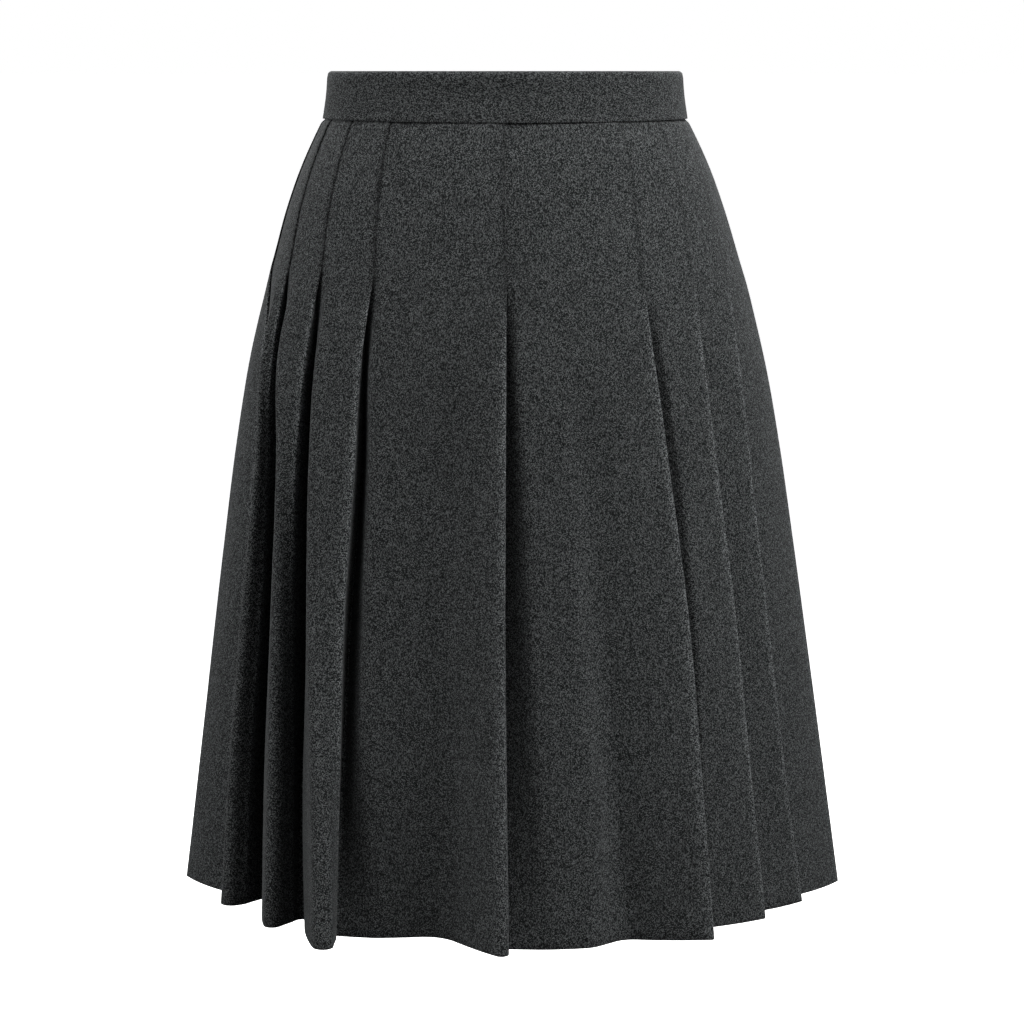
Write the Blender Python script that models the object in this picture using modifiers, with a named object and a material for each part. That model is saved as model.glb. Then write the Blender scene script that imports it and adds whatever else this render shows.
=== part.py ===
"""Knee-length knife-pleated skirt with a straight waistband, lapped and buttoned at the centre back.

Units are metres, +Z is up and the front faces -Y. The origin is the centre of the waist at its top edge.
The skirt is worn shape: open at the waist and at the hem. Every pleat is a knife pleat whose outer fold
points round the body in the same sense, to +X at the front. Each is stitched shut from the waistband to
the hip, and opens from there to the hem.

A level of the skirt is worked out on its envelope, an oval. A place on it is a distance run along the
oval from the centre front, and a depth inside it. In those two coordinates the cloth runs like a belt
over small rollers: round the outer fold of a pleat, back round its inner fold, over the next panel's
shoulder, and on to the next pleat.
"""

import math
from typing import NamedTuple

import bmesh
import bpy
import numpy as np

MM = 0.001

# Cloth
CLOTH_THICKNESS = 1.0 * MM
SEAM_GAP = 0.3 * MM
CLOSED_FOLD_RADIUS = 0.75 * MM
CLOSED_PLEAT_DEPTH = 3.6 * MM
CLOSED_PLEAT_WIDTH = 7.0 * MM
CLOSED_SHOULDER_DEPTH = 3.0 * MM
CLOSED_TROUGH_DEPTH = -0.2 * MM
OUTER_TURN_POINTS = 5
INNER_TURN_POINTS = 4
UNDERLAY_SEAM_AT = 0.5
TURN_STEP = 0.06
TURN_WEIGHT = 22.0 * MM
OUTER = 1
INNER = -1

# Waistband
BAND_HEIGHT = 36.0 * MM
BAND_THICKNESS = 2.6 * MM
BAND_EDGE_ROUND = 0.9 * MM
BAND_LAP = 22.0 * MM
BAND_JOG = 18.0 * MM
BAND_STATIONS = 66
BAND_EDGE_ANGLE = math.radians(60.0)

# Button
BUTTON_RADIUS = 7.5 * MM
BUTTON_THICKNESS = 2.6 * MM
BUTTON_EDGE_ROUND = 0.8 * MM
BUTTON_SIDES = 32
BUTTON_HOLES = 4
BUTTON_HOLE_RADIUS = 0.85 * MM
BUTTON_HOLE_CIRCLE = 1.9 * MM
BUTTON_HOLE_SIDES = 10
BUTTON_FROM_LAP_END = 12.0 * MM

ARC_SAMPLES = 2881
COLLECTION = "knee_length_pleated_skirt"


class Section(NamedTuple):
    """One level of the skirt: how far it lies below the top edge, and its oval in millimetres."""

    drop: float
    half_width: float
    half_depth: float
    centre_x: float


class Pleat(NamedTuple):
    """One knife pleat, stitched shut from the waist down to the drop stitch_end.

    An angle places its outer fold round the oval, in degrees from the centre front towards +X. Below the
    stitching it opens: each row gives the angle, how far the outer fold lies inside the oval, its radius,
    how far back the inner fold lies, how much deeper, and that fold's radius. Lengths are millimetres.
    The panel that ends at the pleat has panel_points inner points.
    """

    name: str
    waist_angle: float
    hip_angle: float
    stitch_end: float
    panel_points: int
    rows: tuple


class Bend(NamedTuple):
    """A soft bend down the panel that ends at a pleat: a shoulder on its outer side, a trough on its inner.

    Each row gives its angle, its depth inside the oval and its radius, in degrees and millimetres.
    """

    panel: str
    side: int
    rows: tuple


class Finish(NamedTuple):
    """Surface of one material."""

    name: str
    colour: tuple
    roughness: float
    metallic: float


BAND_SECTIONS = (
    Section(drop=0.0, half_width=131.2, half_depth=91.6, centre_x=-1.0),
    Section(drop=18.0, half_width=132.2, half_depth=92.6, centre_x=-1.0),
    Section(drop=36.0, half_width=135.0, half_depth=95.6, centre_x=-1.0),
)

SKIRT_SECTIONS = (
    Section(drop=36.3, half_width=134.4, half_depth=95.2, centre_x=-1.1),
    Section(drop=48.0, half_width=141.2, half_depth=99.4, centre_x=-1.0),
    Section(drop=70.0, half_width=151.2, half_depth=106.0, centre_x=-0.9),
    Section(drop=100.0, half_width=162.2, half_depth=113.5, centre_x=-0.8),
    Section(drop=138.0, half_width=173.6, half_depth=121.5, centre_x=-0.2),
    Section(drop=156.0, half_width=179.2, half_depth=125.0, centre_x=-0.1),
    Section(drop=167.0, half_width=182.1, half_depth=127.0, centre_x=-0.1),
    Section(drop=180.0, half_width=185.4, half_depth=129.5, centre_x=0.0),
    Section(drop=220.0, half_width=194.5, half_depth=136.5, centre_x=0.3),
    Section(drop=275.0, half_width=204.2, half_depth=146.0, centre_x=0.6),
    Section(drop=350.0, half_width=215.0, half_depth=159.0, centre_x=1.2),
    Section(drop=440.0, half_width=227.2, half_depth=175.0, centre_x=2.1),
    Section(drop=530.0, half_width=239.2, half_depth=191.5, centre_x=3.1),
    Section(drop=612.0, half_width=250.3, half_depth=206.0, centre_x=4.0),
)

STAGES = (193.0, 275.0, 384.0, 508.0, 612.0)

# name, waist and hip angles, stitch end, panel points, then a row for each of STAGES:
# angle, sink, fold radius, run, depth, valley radius
PLEATS = (
    Pleat("side_right", -90.0, -83.5, 143, 5, (
        (-78.6, 6.0, 0.8, 7, 6, 0.8),
        (-75.0, 13.0, 1.2, 6, 9, 1.2),
        (-74.0, 17.5, 1.6, 5, 12, 1.6),
        (-75.6, 23.0, 2.0, 5, 14, 2.0),
        (-75.0, 29.0, 2.4, 6, 15, 2.4),
    )),
    Pleat("right_3", -72.0, -65.3, 142, 6, (
        (-67.1, 4.0, 0.8, 7, 16, 0.8),
        (-65.0, 10.0, 1.2, 10, 25, 1.2),
        (-65.9, 15.0, 1.6, 18, 34, 1.6),
        (-66.4, 21.0, 2.0, 20, 36, 2.0),
        (-64.4, 26.0, 2.4, 7, 34, 2.4),
    )),
    Pleat("right_2", -55.4, -49.9, 141, 6, (
        (-50.0, 1.5, 0.8, 8, 18, 0.8),
        (-50.2, 6.0, 1.2, 9, 30, 1.4),
        (-49.9, 14.0, 1.6, 8, 32, 2.0),
        (-48.5, 24.0, 2.0, 3, 18, 2.6),
        (-44.9, 25.0, 2.2, -3, 12, 4.0),
    )),
    Pleat("right_1", -37.6, -32.6, 144, 6, (
        (-33.0, 0.0, 0.8, 8, 18, 0.8),
        (-32.4, 0.3, 1.2, 10, 33, 1.2),
        (-32.6, 1.0, 1.6, 12, 33, 1.6),
        (-31.6, 2.0, 2.0, 9, 24, 2.0),
        (-30.7, 3.0, 2.2, 4, 12, 2.4),
    )),
    Pleat("centre_front", -0.2, 0.0, 153, 12, (
        (-0.1, 0.0, 0.8, 8, 16, 1.4),
        (-0.3, -1.0, 1.4, 10, 27, 1.2),
        (-0.6, -3.0, 2.4, 13, 33, 1.6),
        (-0.6, -6.0, 4.0, 15, 32, 2.0),
        (-0.5, -8.3, 5.0, 11, 20, 2.2),
    )),
    Pleat("left_1", 38.6, 33.5, 148, 12, (
        (33.5, 0.0, 0.8, 7, 13, 0.8),
        (34.4, 0.0, 1.2, 8, 20, 1.2),
        (35.8, -1.0, 1.6, 8, 26, 1.6),
        (35.5, -2.0, 2.0, 7, 30, 2.0),
        (35.1, -2.2, 2.2, 6, 31, 2.2),
    )),
    Pleat("left_2", 56.6, 49.9, 149, 3, (
        (48.6, 1.0, 0.8, 7, 5, 0.8),
        (48.5, 3.0, 1.2, 7, 9, 1.2),
        (50.4, 7.0, 1.6, 6, 13, 1.6),
        (51.4, 12.0, 1.9, 5, 17, 1.9),
        (52.2, 16.1, 2.1, 4, 20, 2.1),
    )),
    Pleat("left_3", 73.0, 66.1, 147, 3, (
        (63.4, 1.0, 0.8, 7, 4, 0.8),
        (61.6, 3.0, 1.2, 6, 7, 1.2),
        (63.3, 8.0, 1.6, 5, 11, 1.6),
        (65.3, 13.0, 1.9, 4, 15, 1.9),
        (68.5, 17.6, 2.1, 3, 18, 2.1),
    )),
    Pleat("side_left", 90.0, 84.0, 146, 3, (
        (84.0, 0.0, 0.8, 7, 6, 0.8),
        (84.6, 0.0, 1.2, 6, 12, 1.2),
        (85.5, 0.0, 1.6, 5, 18, 1.6),
        (86.5, 0.2, 1.9, 4, 24, 1.9),
        (87.5, 0.8, 2.1, 3, 29, 2.1),
    )),
    Pleat("back_left_3", 107.2, 105.0, 144, 6, (
        (105.1, 0.6, 0.8, 7, 8, 0.8),
        (105.6, 3.0, 1.2, 6, 13, 1.2),
        (106.2, 8.0, 1.6, 5, 16, 1.6),
        (106.6, 14.0, 2.0, 4, 18, 2.0),
        (107.0, 20.0, 2.4, 3, 19, 2.4),
    )),
    Pleat("back_left_2", 124.2, 125.0, 143, 6, (
        (125.2, 0.8, 0.8, 8, 10, 0.8),
        (125.8, 4.0, 1.2, 8, 15, 1.3),
        (126.6, 10.0, 1.6, 7, 17, 1.8),
        (127.2, 17.0, 2.0, 4, 17, 2.4),
        (128.4, 20.0, 2.2, -2, 14, 3.4),
    )),
    Pleat("back_left_1", 142.0, 146.4, 146, 6, (
        (146.2, 0.0, 0.8, 8, 12, 0.8),
        (146.4, 0.2, 1.2, 9, 19, 1.2),
        (146.2, 0.6, 1.6, 10, 19, 1.6),
        (146.8, 1.2, 2.0, 8, 16, 2.0),
        (147.4, 2.0, 2.2, 4, 13, 2.4),
    )),
    Pleat("centre_back", 180.0, 180.0, 152, 11, (
        (179.9, 0.0, 0.8, 7, 11, 0.8),
        (179.6, -0.8, 1.4, 9, 18, 1.2),
        (179.4, -2.4, 2.2, 10, 22, 1.6),
        (179.3, -4.6, 3.4, 11, 22, 2.0),
        (179.0, -6.6, 4.4, 10, 19, 2.2),
    )),
    Pleat("back_right_1", 218.0, 213.6, 147, 11, (
        (213.6, 0.0, 0.8, 7, 10, 0.8),
        (214.2, -0.4, 1.2, 8, 16, 1.2),
        (215.0, -1.4, 1.6, 8, 21, 1.6),
        (215.1, -2.6, 2.0, 7, 26, 2.0),
        (214.8, -3.4, 2.2, 6, 29, 2.2),
    )),
    Pleat("back_right_2", 235.8, 235.0, 144, 3, (
        (234.4, 0.8, 0.8, 7, 5, 0.8),
        (234.2, 2.4, 1.2, 7, 9, 1.2),
        (235.0, 6.0, 1.6, 6, 13, 1.6),
        (235.4, 9.5, 1.9, 5, 18, 1.9),
        (236.0, 12.6, 2.1, 4, 21, 2.1),
    )),
    Pleat("back_right_3", 252.8, 255.0, 145, 3, (
        (254.2, 0.8, 0.8, 7, 5, 0.8),
        (253.4, 2.6, 1.2, 6, 9, 1.2),
        (253.8, 6.4, 1.6, 5, 14, 1.6),
        (254.4, 10.4, 1.9, 4, 19, 1.9),
        (255.4, 13.0, 2.1, 3, 23, 2.1),
    )),
)

# name of the pleat that the panel ends at, side, then a row for each of STAGES: angle, depth, radius
BENDS = (
    Bend("side_right", OUTER, (
        (-93.0, 0.0, 3.0), (-93.0, 0.0, 3.5), (-92.6, 0.0, 4.0), (-92.0, 0.0, 4.5), (-91.4, 0.0, 5.0),
    )),
    Bend("right_3", OUTER, (
        (-70.2, 0.3, 2.0), (-65.4, 2.2, 2.4), (-66.0, 5.6, 2.8), (-66.4, 10.0, 3.4), (-66.0, 14.4, 4.0),
    )),
    Bend("right_2", OUTER, (
        (-60.6, 0.0, 2.4), (-55.0, 0.8, 3.2), (-51.6, 2.0, 3.8), (-48.6, 3.5, 4.4), (-46.4, 4.5, 5.0),
    )),
    Bend("right_1", OUTER, (
        (-45.2, -0.4, 4.0), (-42.6, -2.0, 7.0), (-38.9, -6.0, 7.0), (-33.8, -13.6, 7.5), (-30.6, -21.1, 7.0),
    )),
    Bend("centre_front", OUTER, (
        (-29.8, 0.8, 5.0), (-27.2, 3.0, 13.0), (-26.8, 6.4, 15.0), (-26.8, 12.0, 16.0), (-25.9, 20.4, 15.0),
    )),
    Bend("centre_front", INNER, (
        (-14.0, 1.2, 20.0), (-14.5, 8.5, 24.0), (-15.0, 18.0, 26.0), (-15.2, 28.0, 28.0), (-15.4, 35.6, 28.0),
    )),
    Bend("left_1", OUTER, (
        (3.2, 0.5, 5.0), (4.6, 2.0, 9.0), (5.4, 4.0, 13.0), (6.0, 6.4, 15.0), (6.2, 8.3, 16.0),
    )),
    Bend("left_1", OUTER, (
        (11.0, 0.2, 18.0), (12.0, 1.0, 20.0), (12.5, 3.2, 20.0), (13.2, 6.2, 20.0), (12.2, 8.3, 22.0),
    )),
    Bend("left_1", INNER, (
        (17.0, 1.0, 14.0), (18.0, 4.8, 16.0), (19.0, 10.0, 18.0), (20.0, 16.0, 20.0), (20.6, 21.6, 22.0),
    )),
    Bend("back_left_3", OUTER, (
        (99.6, 0.2, 2.4), (101.6, 0.6, 3.0), (102.2, 1.6, 3.6), (102.8, 3.0, 4.2), (103.2, 4.4, 4.8),
    )),
    Bend("back_left_2", OUTER, (
        (116.4, 0.0, 2.6), (119.2, 0.2, 3.4), (121.6, 0.4, 4.0), (123.4, 0.6, 4.8), (125.2, 0.6, 5.6),
    )),
    Bend("back_left_1", OUTER, (
        (132.8, -0.2, 4.0), (135.4, -1.2, 6.0), (139.0, -3.4, 7.0), (142.4, -7.4, 8.0), (145.2, -11.4, 9.0),
    )),
    Bend("centre_back", OUTER, (
        (149.6, 0.6, 5.0), (151.3, 2.3, 11.0), (152.2, 4.8, 13.0), (153.0, 8.8, 14.0), (154.0, 13.2, 15.0),
    )),
    Bend("centre_back", INNER, (
        (166.4, 1.0, 20.0), (166.0, 6.2, 24.0), (165.6, 13.0, 26.0), (165.4, 20.0, 28.0), (165.2, 25.4, 28.0),
    )),
    Bend("back_right_1", OUTER, (
        (183.3, 0.5, 5.0), (184.5, 1.8, 8.0), (185.4, 3.4, 12.0), (186.0, 5.2, 14.0), (186.3, 6.8, 15.0),
    )),
    Bend("back_right_1", OUTER, (
        (190.4, 0.2, 18.0), (191.0, 0.8, 20.0), (191.8, 2.4, 20.0), (192.4, 4.8, 20.0), (191.8, 6.8, 22.0),
    )),
    Bend("back_right_1", INNER, (
        (196.6, 0.8, 14.0), (197.8, 4.0, 16.0), (199.0, 8.2, 18.0), (200.2, 13.0, 20.0), (200.8, 17.2, 22.0),
    )),
)

# node name, the pleat whose underlay it starts in, the pleat whose underlay it ends in
PANELS = (
    ("front_panel", 0, 8),
    ("back_left_panel", 8, 12),
    ("back_right_panel", 12, 16),
)

SUITING = Finish("charcoal_suiting", (0.031, 0.032, 0.032, 1.0), 0.92, 0.0)
BAND_SUITING = Finish("charcoal_band", (0.033, 0.034, 0.034, 1.0), 0.92, 0.0)
BUTTON_RESIN = Finish("black_resin", (0.012, 0.012, 0.013, 1.0), 0.35, 0.0)


class Oval:
    """The oval of one section, measured by the distance run along it from the centre front."""

    def __init__(self, section):
        self.half_width = section.half_width * MM
        self.half_depth = section.half_depth * MM
        self.centre_x = section.centre_x * MM
        self.z = -section.drop * MM
        self.angles = np.linspace(math.radians(-180.0), math.radians(540.0), ARC_SAMPLES)
        speeds = np.hypot(self.half_width * np.cos(self.angles), self.half_depth * np.sin(self.angles))
        steps = 0.5 * (speeds[1:] + speeds[:-1]) * np.diff(self.angles)
        lengths = np.concatenate(([0.0], np.cumsum(steps)))
        self.lengths = lengths - np.interp(0.0, self.angles, lengths)

    def distance(self, degrees):
        """Distance from the centre front to an angle."""
        return float(np.interp(math.radians(degrees), self.angles, self.lengths))

    def point(self, distance, depth):
        """Point in space at a distance along the oval and a depth inside it."""
        angle = float(np.interp(distance, self.lengths, self.angles))
        along = np.array([self.half_width * math.cos(angle), self.half_depth * math.sin(angle)])
        along /= np.linalg.norm(along)
        on_oval = np.array([self.half_width * math.sin(angle), -self.half_depth * math.cos(angle)])
        place = on_oval + depth * np.array([-along[1], along[0]])
        return (self.centre_x + place[0], place[1], self.z)


def blend(start, end, share):
    """Value a share of the way from start to end."""
    return start + (end - start) * share


def bump(place, centre, reach):
    """Smooth bump, 1 at its centre and 0 from its reach outward."""
    return math.cos(0.5 * math.pi * min(1.0, abs(place - centre) / reach)) ** 2


def heading(angle):
    """Unit vector of a direction of travel, and the one to its left."""
    ahead = np.array([math.cos(angle), math.sin(angle)])
    return ahead, np.array([-ahead[1], ahead[0]])


class Roller:
    """A fold or bend: a circle that the cloth runs round, on its outer side or on its inner side."""

    def __init__(self, centre, radius, side):
        self.centre = np.array(centre)
        self.radius = radius
        self.side = side

    def direction_to(self, other):
        """Direction of the cloth's straight run from this fold to the next."""
        gap = other.centre - self.centre
        offset = self.side * self.radius - other.side * other.radius
        return math.atan2(gap[1], gap[0]) + math.asin(offset / float(np.linalg.norm(gap)))

    def touch(self, angle):
        """Point of the circle where the cloth travels in a direction."""
        return self.centre - self.side * self.radius * heading(angle)[1]

    def turn(self, angle_in, angle_out, count):
        """Points of the cloth round the fold."""
        sweep = self.sweep(angle_in, angle_out)
        shares = np.linspace(0.0, 1.0, count)
        return [self.touch(angle_in + self.side * sweep * share) for share in shares]

    def sweep(self, angle_in, angle_out):
        """How far the cloth turns round the fold."""
        return (self.side * (angle_out - angle_in)) % (2.0 * math.pi)


def smooth_value(places, values, place):
    """Reads a smooth curve through a table of values at rising places."""
    slopes = np.gradient(values, places)
    index = int(np.clip(np.searchsorted(places, place) - 1, 0, len(places) - 2))
    width = places[index + 1] - places[index]
    share = (place - places[index]) / width
    squared = share * share
    cubed = squared * share
    start = (2.0 * cubed - 3.0 * squared + 1.0) * values[index]
    start_slope = (cubed - 2.0 * squared + share) * width * slopes[index]
    end = (3.0 * squared - 2.0 * cubed) * values[index + 1]
    end_slope = (cubed - squared) * width * slopes[index + 1]
    return float(start + start_slope + end + end_slope)


def hung(stitch_end, closed, rows, drop):
    """Values of a pleat or bend at a drop, from those that hold down to its stitch end and its rows."""
    if drop <= stitch_end:
        return list(closed)
    places = np.array((stitch_end, *STAGES))
    return [smooth_value(places, np.array(column), drop) for column in zip(closed, *rows)]


def pleat_rollers(pleat, oval, turns):
    """Outer and inner fold of a pleat at one level, a whole number of turns on."""
    drop = -oval.z / MM
    top = SKIRT_SECTIONS[0].drop
    stitched = min(1.0, (drop - top) / (pleat.stitch_end - top))
    closed_lengths = (0.0, CLOSED_FOLD_RADIUS, CLOSED_PLEAT_WIDTH, CLOSED_PLEAT_DEPTH, CLOSED_FOLD_RADIUS)
    closed = (pleat.hip_angle, *(length / MM for length in closed_lengths))
    found = hung(pleat.stitch_end, closed, pleat.rows, drop)
    angle = found[0] if stitched == 1.0 else blend(pleat.waist_angle, pleat.hip_angle, stitched)
    sink, radius, run, depth, valley = (value * MM for value in found[1:])
    along = oval.distance(angle + 360.0 * turns)
    surface = 0.5 * CLOTH_THICKNESS + sink
    outer = Roller((along - radius, surface + radius), radius, OUTER)
    inner = Roller((along - run, surface + depth - valley), valley, INNER)
    return outer, inner


def panel_bends(pleat, oval, turns):
    """Soft bends of the panel that ends at a pleat, at one level. None in the stitched part."""
    drop = -oval.z / MM
    if drop <= pleat.stitch_end:
        return []
    made = []
    for bend in BENDS:
        if bend.panel != pleat.name:
            continue
        level = CLOSED_SHOULDER_DEPTH if bend.side == OUTER else CLOSED_TROUGH_DEPTH
        closed = (bend.rows[0][0], level / MM, bend.rows[0][2])
        angle, depth, radius = hung(pleat.stitch_end, closed, bend.rows, drop)
        centre = 0.5 * CLOTH_THICKNESS + (depth + bend.side * radius) * MM
        along = oval.distance(angle + 360.0 * turns)
        made.append(Roller((along, centre), radius * MM, bend.side))
    return made


def taut(chain):
    """Leaves out of a chain of folds the bends that the cloth passes without touching."""
    kept = list(chain)
    while len(kept) > 2:
        ways = [one.direction_to(other) for one, other in zip(kept, kept[1:])]
        turns = [kept[n].sweep(ways[n - 1], ways[n]) for n in range(1, len(kept) - 1)]
        slack = [turn if turn > math.pi else 0.0 for turn in turns]
        if max(slack) == 0.0:
            break
        del kept[1 + slack.index(max(slack))]
    return kept


def panel_run(pleat, chain):
    """Inner points of the panel from one pleat's inner fold to the next one's outer fold.

    They lie closer together where the cloth turns. Two directions come with them: that in which the cloth
    leaves the inner fold, and that in which it arrives.
    """
    kept = taut(chain)
    ways = [one.direction_to(other) for one, other in zip(kept, kept[1:])]
    track = [kept[0].touch(ways[0])]
    turned = [0.0]
    for number in range(1, len(kept) - 1):
        sweep = kept[number].sweep(ways[number - 1], ways[number])
        steps = max(2, int(sweep / TURN_STEP) + 1)
        track += kept[number].turn(ways[number - 1], ways[number], steps)
        turned += [0.0] + [sweep / (steps - 1)] * (steps - 1)
    track.append(kept[-1].touch(ways[-1]))
    turned.append(0.0)
    line = np.array(track)
    length = np.concatenate(([0.0], np.cumsum(np.linalg.norm(np.diff(line, axis=0), axis=1))))
    measure = length + TURN_WEIGHT * np.cumsum(turned)
    wanted = measure[-1] * np.arange(1, pleat.panel_points + 1) / (pleat.panel_points + 1)
    along = np.interp(wanted, measure, length)
    points = np.stack((np.interp(along, length, line[:, 0]), np.interp(along, length, line[:, 1])), axis=1)
    return list(points), ways[0], ways[-1]


def cloth_line(oval, first, last):
    """Middle line of a panel's cloth at one level, from the seam in one underlay to that in another."""
    line = []
    count = len(PLEATS)
    outer, inner = pleat_rollers(PLEATS[first], oval, 0)
    direction = outer.direction_to(inner)
    leave, arrive = outer.touch(direction), inner.touch(direction)
    half_gap = 0.5 * SEAM_GAP * heading(direction)[0]
    line.append(blend(leave, arrive, UNDERLAY_SEAM_AT) + half_gap)
    for number in range(first + 1, last + 1):
        pleat = PLEATS[number % count]
        turns = number // count
        next_outer, next_inner = pleat_rollers(pleat, oval, turns)
        chain = [inner, *panel_bends(pleat, oval, turns), next_outer]
        run, way_out, way_in = panel_run(pleat, chain)
        line += inner.turn(direction, way_out, INNER_TURN_POINTS)
        line += run
        direction = next_outer.direction_to(next_inner)
        line += next_outer.turn(way_in, direction, OUTER_TURN_POINTS)
        outer, inner = next_outer, next_inner
    leave, arrive = outer.touch(direction), inner.touch(direction)
    half_gap = 0.5 * SEAM_GAP * heading(direction)[0]
    line.append(blend(leave, arrive, UNDERLAY_SEAM_AT) - half_gap)
    return [oval.point(distance, depth) for distance, depth in line]


def loft(name, rows):
    """Open surface through rows of points, each row running the same way."""
    mesh = bpy.data.meshes.new(name)
    width = len(rows[0])
    points = [point for row in rows for point in row]
    faces = []
    for level in range(len(rows) - 1):
        for column in range(width - 1):
            corner = level * width + column
            faces.append((corner, corner + width, corner + width + 1, corner + 1))
    mesh.from_pydata(points, [], faces)
    mesh.update()
    mesh.shade_smooth()
    piece = bpy.data.objects.new(name, mesh)
    parts.objects.link(piece)
    return piece


def thicken(piece, thickness):
    """Gives an open surface its cloth, half of it to each side."""
    wall = piece.modifiers.new("cloth", "SOLIDIFY")
    wall.thickness = thickness
    wall.offset = 0.0
    wall.use_even_offset = True
    wall.use_quality_normals = True


def paint(piece, finish):
    """Gives a piece its material."""
    material = bpy.data.materials.get(finish.name) or bpy.data.materials.new(finish.name)
    material.use_nodes = True
    shader = material.node_tree.nodes["Principled BSDF"]
    shader.inputs["Base Color"].default_value = finish.colour
    shader.inputs["Roughness"].default_value = finish.roughness
    shader.inputs["Metallic"].default_value = finish.metallic
    piece.data.materials.append(material)


def make_panel(name, first, last):
    """One cut panel of the skirt, from side seam to side seam or to the centre back seam."""
    rows = [cloth_line(Oval(section), first, last) for section in SKIRT_SECTIONS]
    panel = loft(name, rows)
    thicken(panel, CLOTH_THICKNESS)
    paint(panel, SUITING)
    return panel


def band_depth(past_lap):
    """Depth of the band's middle at a distance past the start of its under end."""
    under = BAND_THICKNESS + SEAM_GAP + BAND_EDGE_ROUND * 0.5
    share = min(1.0, max(0.0, (past_lap - BAND_LAP) / BAND_JOG))
    ease = share * share * (3.0 - 2.0 * share)
    return 0.5 * BAND_THICKNESS + under * (1.0 - ease)


def make_band():
    """Waistband: one strip round the waist, whose ends lap at the centre back."""
    rows = []
    for section in BAND_SECTIONS:
        oval = Oval(section)
        start = oval.distance(-180.0)
        total = oval.distance(180.0) - start + BAND_LAP
        line = []
        for past in band_stations(total):
            line.append(oval.point(start + past, band_depth(past)))
        rows.append(line)
    band = loft("waistband", rows)
    thicken(band, BAND_THICKNESS)
    rounding = band.modifiers.new("turned_edges", "BEVEL")
    rounding.width = BAND_EDGE_ROUND
    rounding.segments = 2
    rounding.limit_method = "ANGLE"
    rounding.angle_limit = BAND_EDGE_ANGLE
    paint(band, BAND_SUITING)
    return band


def band_stations(total):
    """Distances along the band at which it has a point, closer together over the jog of its under end."""
    jog_end = BAND_LAP + BAND_JOG
    jog_steps = 8
    under = [0.0, 0.5 * BAND_LAP]
    jog = [blend(BAND_LAP, jog_end, step / jog_steps) for step in range(jog_steps + 1)]
    around_steps = BAND_STATIONS - jog_steps - len(under)
    around = [blend(jog_end, total, step / around_steps) for step in range(1, around_steps + 1)]
    return under + jog + around


def make_button():
    """Four-hole button on the band's outer lap at the centre back."""
    middle = BAND_SECTIONS[1]
    oval = Oval(middle)
    place = oval.distance(180.0) + BAND_LAP - BUTTON_FROM_LAP_END
    seat = oval.point(place, -SEAM_GAP)
    outward = np.array(oval.point(place, -2.0 * SEAM_GAP)) - np.array(seat)
    facing = math.atan2(outward[1], outward[0])
    shape = bmesh.new()
    bmesh.ops.create_cone(
        shape,
        cap_ends=True,
        segments=BUTTON_SIDES,
        radius1=BUTTON_RADIUS,
        radius2=BUTTON_RADIUS,
        depth=BUTTON_THICKNESS,
    )
    mesh = bpy.data.meshes.new("back_button")
    shape.to_mesh(mesh)
    shape.free()
    button = bpy.data.objects.new("back_button", mesh)
    parts.objects.link(button)
    lean = math.atan2(BAND_SECTIONS[2].half_depth - BAND_SECTIONS[0].half_depth, BAND_HEIGHT / MM)
    centre = np.array(seat) + np.array([math.cos(facing), math.sin(facing), 0.0]) * BUTTON_THICKNESS * 0.62
    button.location = centre
    button.rotation_euler = (0.0, 0.5 * math.pi - lean, facing)
    for number in range(BUTTON_HOLES):
        turn = 2.0 * math.pi * (number + 0.5) / BUTTON_HOLES
        drill_hole(button, turn)
    rounding = button.modifiers.new("rim", "BEVEL")
    rounding.width = BUTTON_EDGE_ROUND
    rounding.segments = 2
    rounding.limit_method = "ANGLE"
    rounding.angle_limit = BAND_EDGE_ANGLE
    button.modifiers.move(len(button.modifiers) - 1, 0)
    paint(button, BUTTON_RESIN)
    mesh.shade_smooth()
    mesh.set_sharp_from_angle(angle=BAND_EDGE_ANGLE)
    return button


def drill_hole(button, turn):
    """Cuts one thread hole through a button."""
    shape = bmesh.new()
    bmesh.ops.create_cone(
        shape,
        cap_ends=True,
        segments=BUTTON_HOLE_SIDES,
        radius1=BUTTON_HOLE_RADIUS,
        radius2=BUTTON_HOLE_RADIUS,
        depth=BUTTON_THICKNESS * 3.0,
    )
    name = f"thread_hole_{round(math.degrees(turn))}"
    mesh = bpy.data.meshes.new(name)
    shape.to_mesh(mesh)
    shape.free()
    cutter = bpy.data.objects.new(name, mesh)
    cutters.objects.link(cutter)
    cutter.parent = button
    cutter.location = (BUTTON_HOLE_CIRCLE * math.cos(turn), BUTTON_HOLE_CIRCLE * math.sin(turn), 0.0)
    cutter.hide_render = True
    cutter.display_type = "WIRE"
    cut = button.modifiers.new(name, "BOOLEAN")
    cut.operation = "DIFFERENCE"
    cut.solver = "EXACT"
    cut.object = cutter


def new_collection(name):
    """Collection in the scene."""
    collection = bpy.data.collections.new(name)
    bpy.context.scene.collection.children.link(collection)
    return collection


for item in list(bpy.data.objects):
    bpy.data.objects.remove(item, do_unlink=True)

parts = new_collection(COLLECTION)
cutters = new_collection("cutters")
for panel_name, first_pleat, last_pleat in PANELS:
    make_panel(panel_name, first_pleat, last_pleat)
make_band()
make_button()
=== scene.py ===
"""Looks of the knee-length knife-pleated skirt: cloth, waistband, button, stitches and studio.

Tables and fields are in millimetres and degrees, or in metres where they are multiplied by MM. +Z is up, the
front faces -Y, and the origin is the centre of the waist at the band's top edge.

Each level of the skirt is worked out on its envelope, an oval. A place on it is a distance run along the oval
from the centre front, and a depth inside it. There the cloth runs like a belt over small rollers: round the
outer fold of a pleat, back round its inner fold, and on across the next panel, over that panel's soft
shoulders and troughs.
"""

from __future__ import annotations

import logging
import math
from dataclasses import dataclass, field
from enum import Enum

import bpy
import numpy as np
from mathutils import Matrix, Vector

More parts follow.
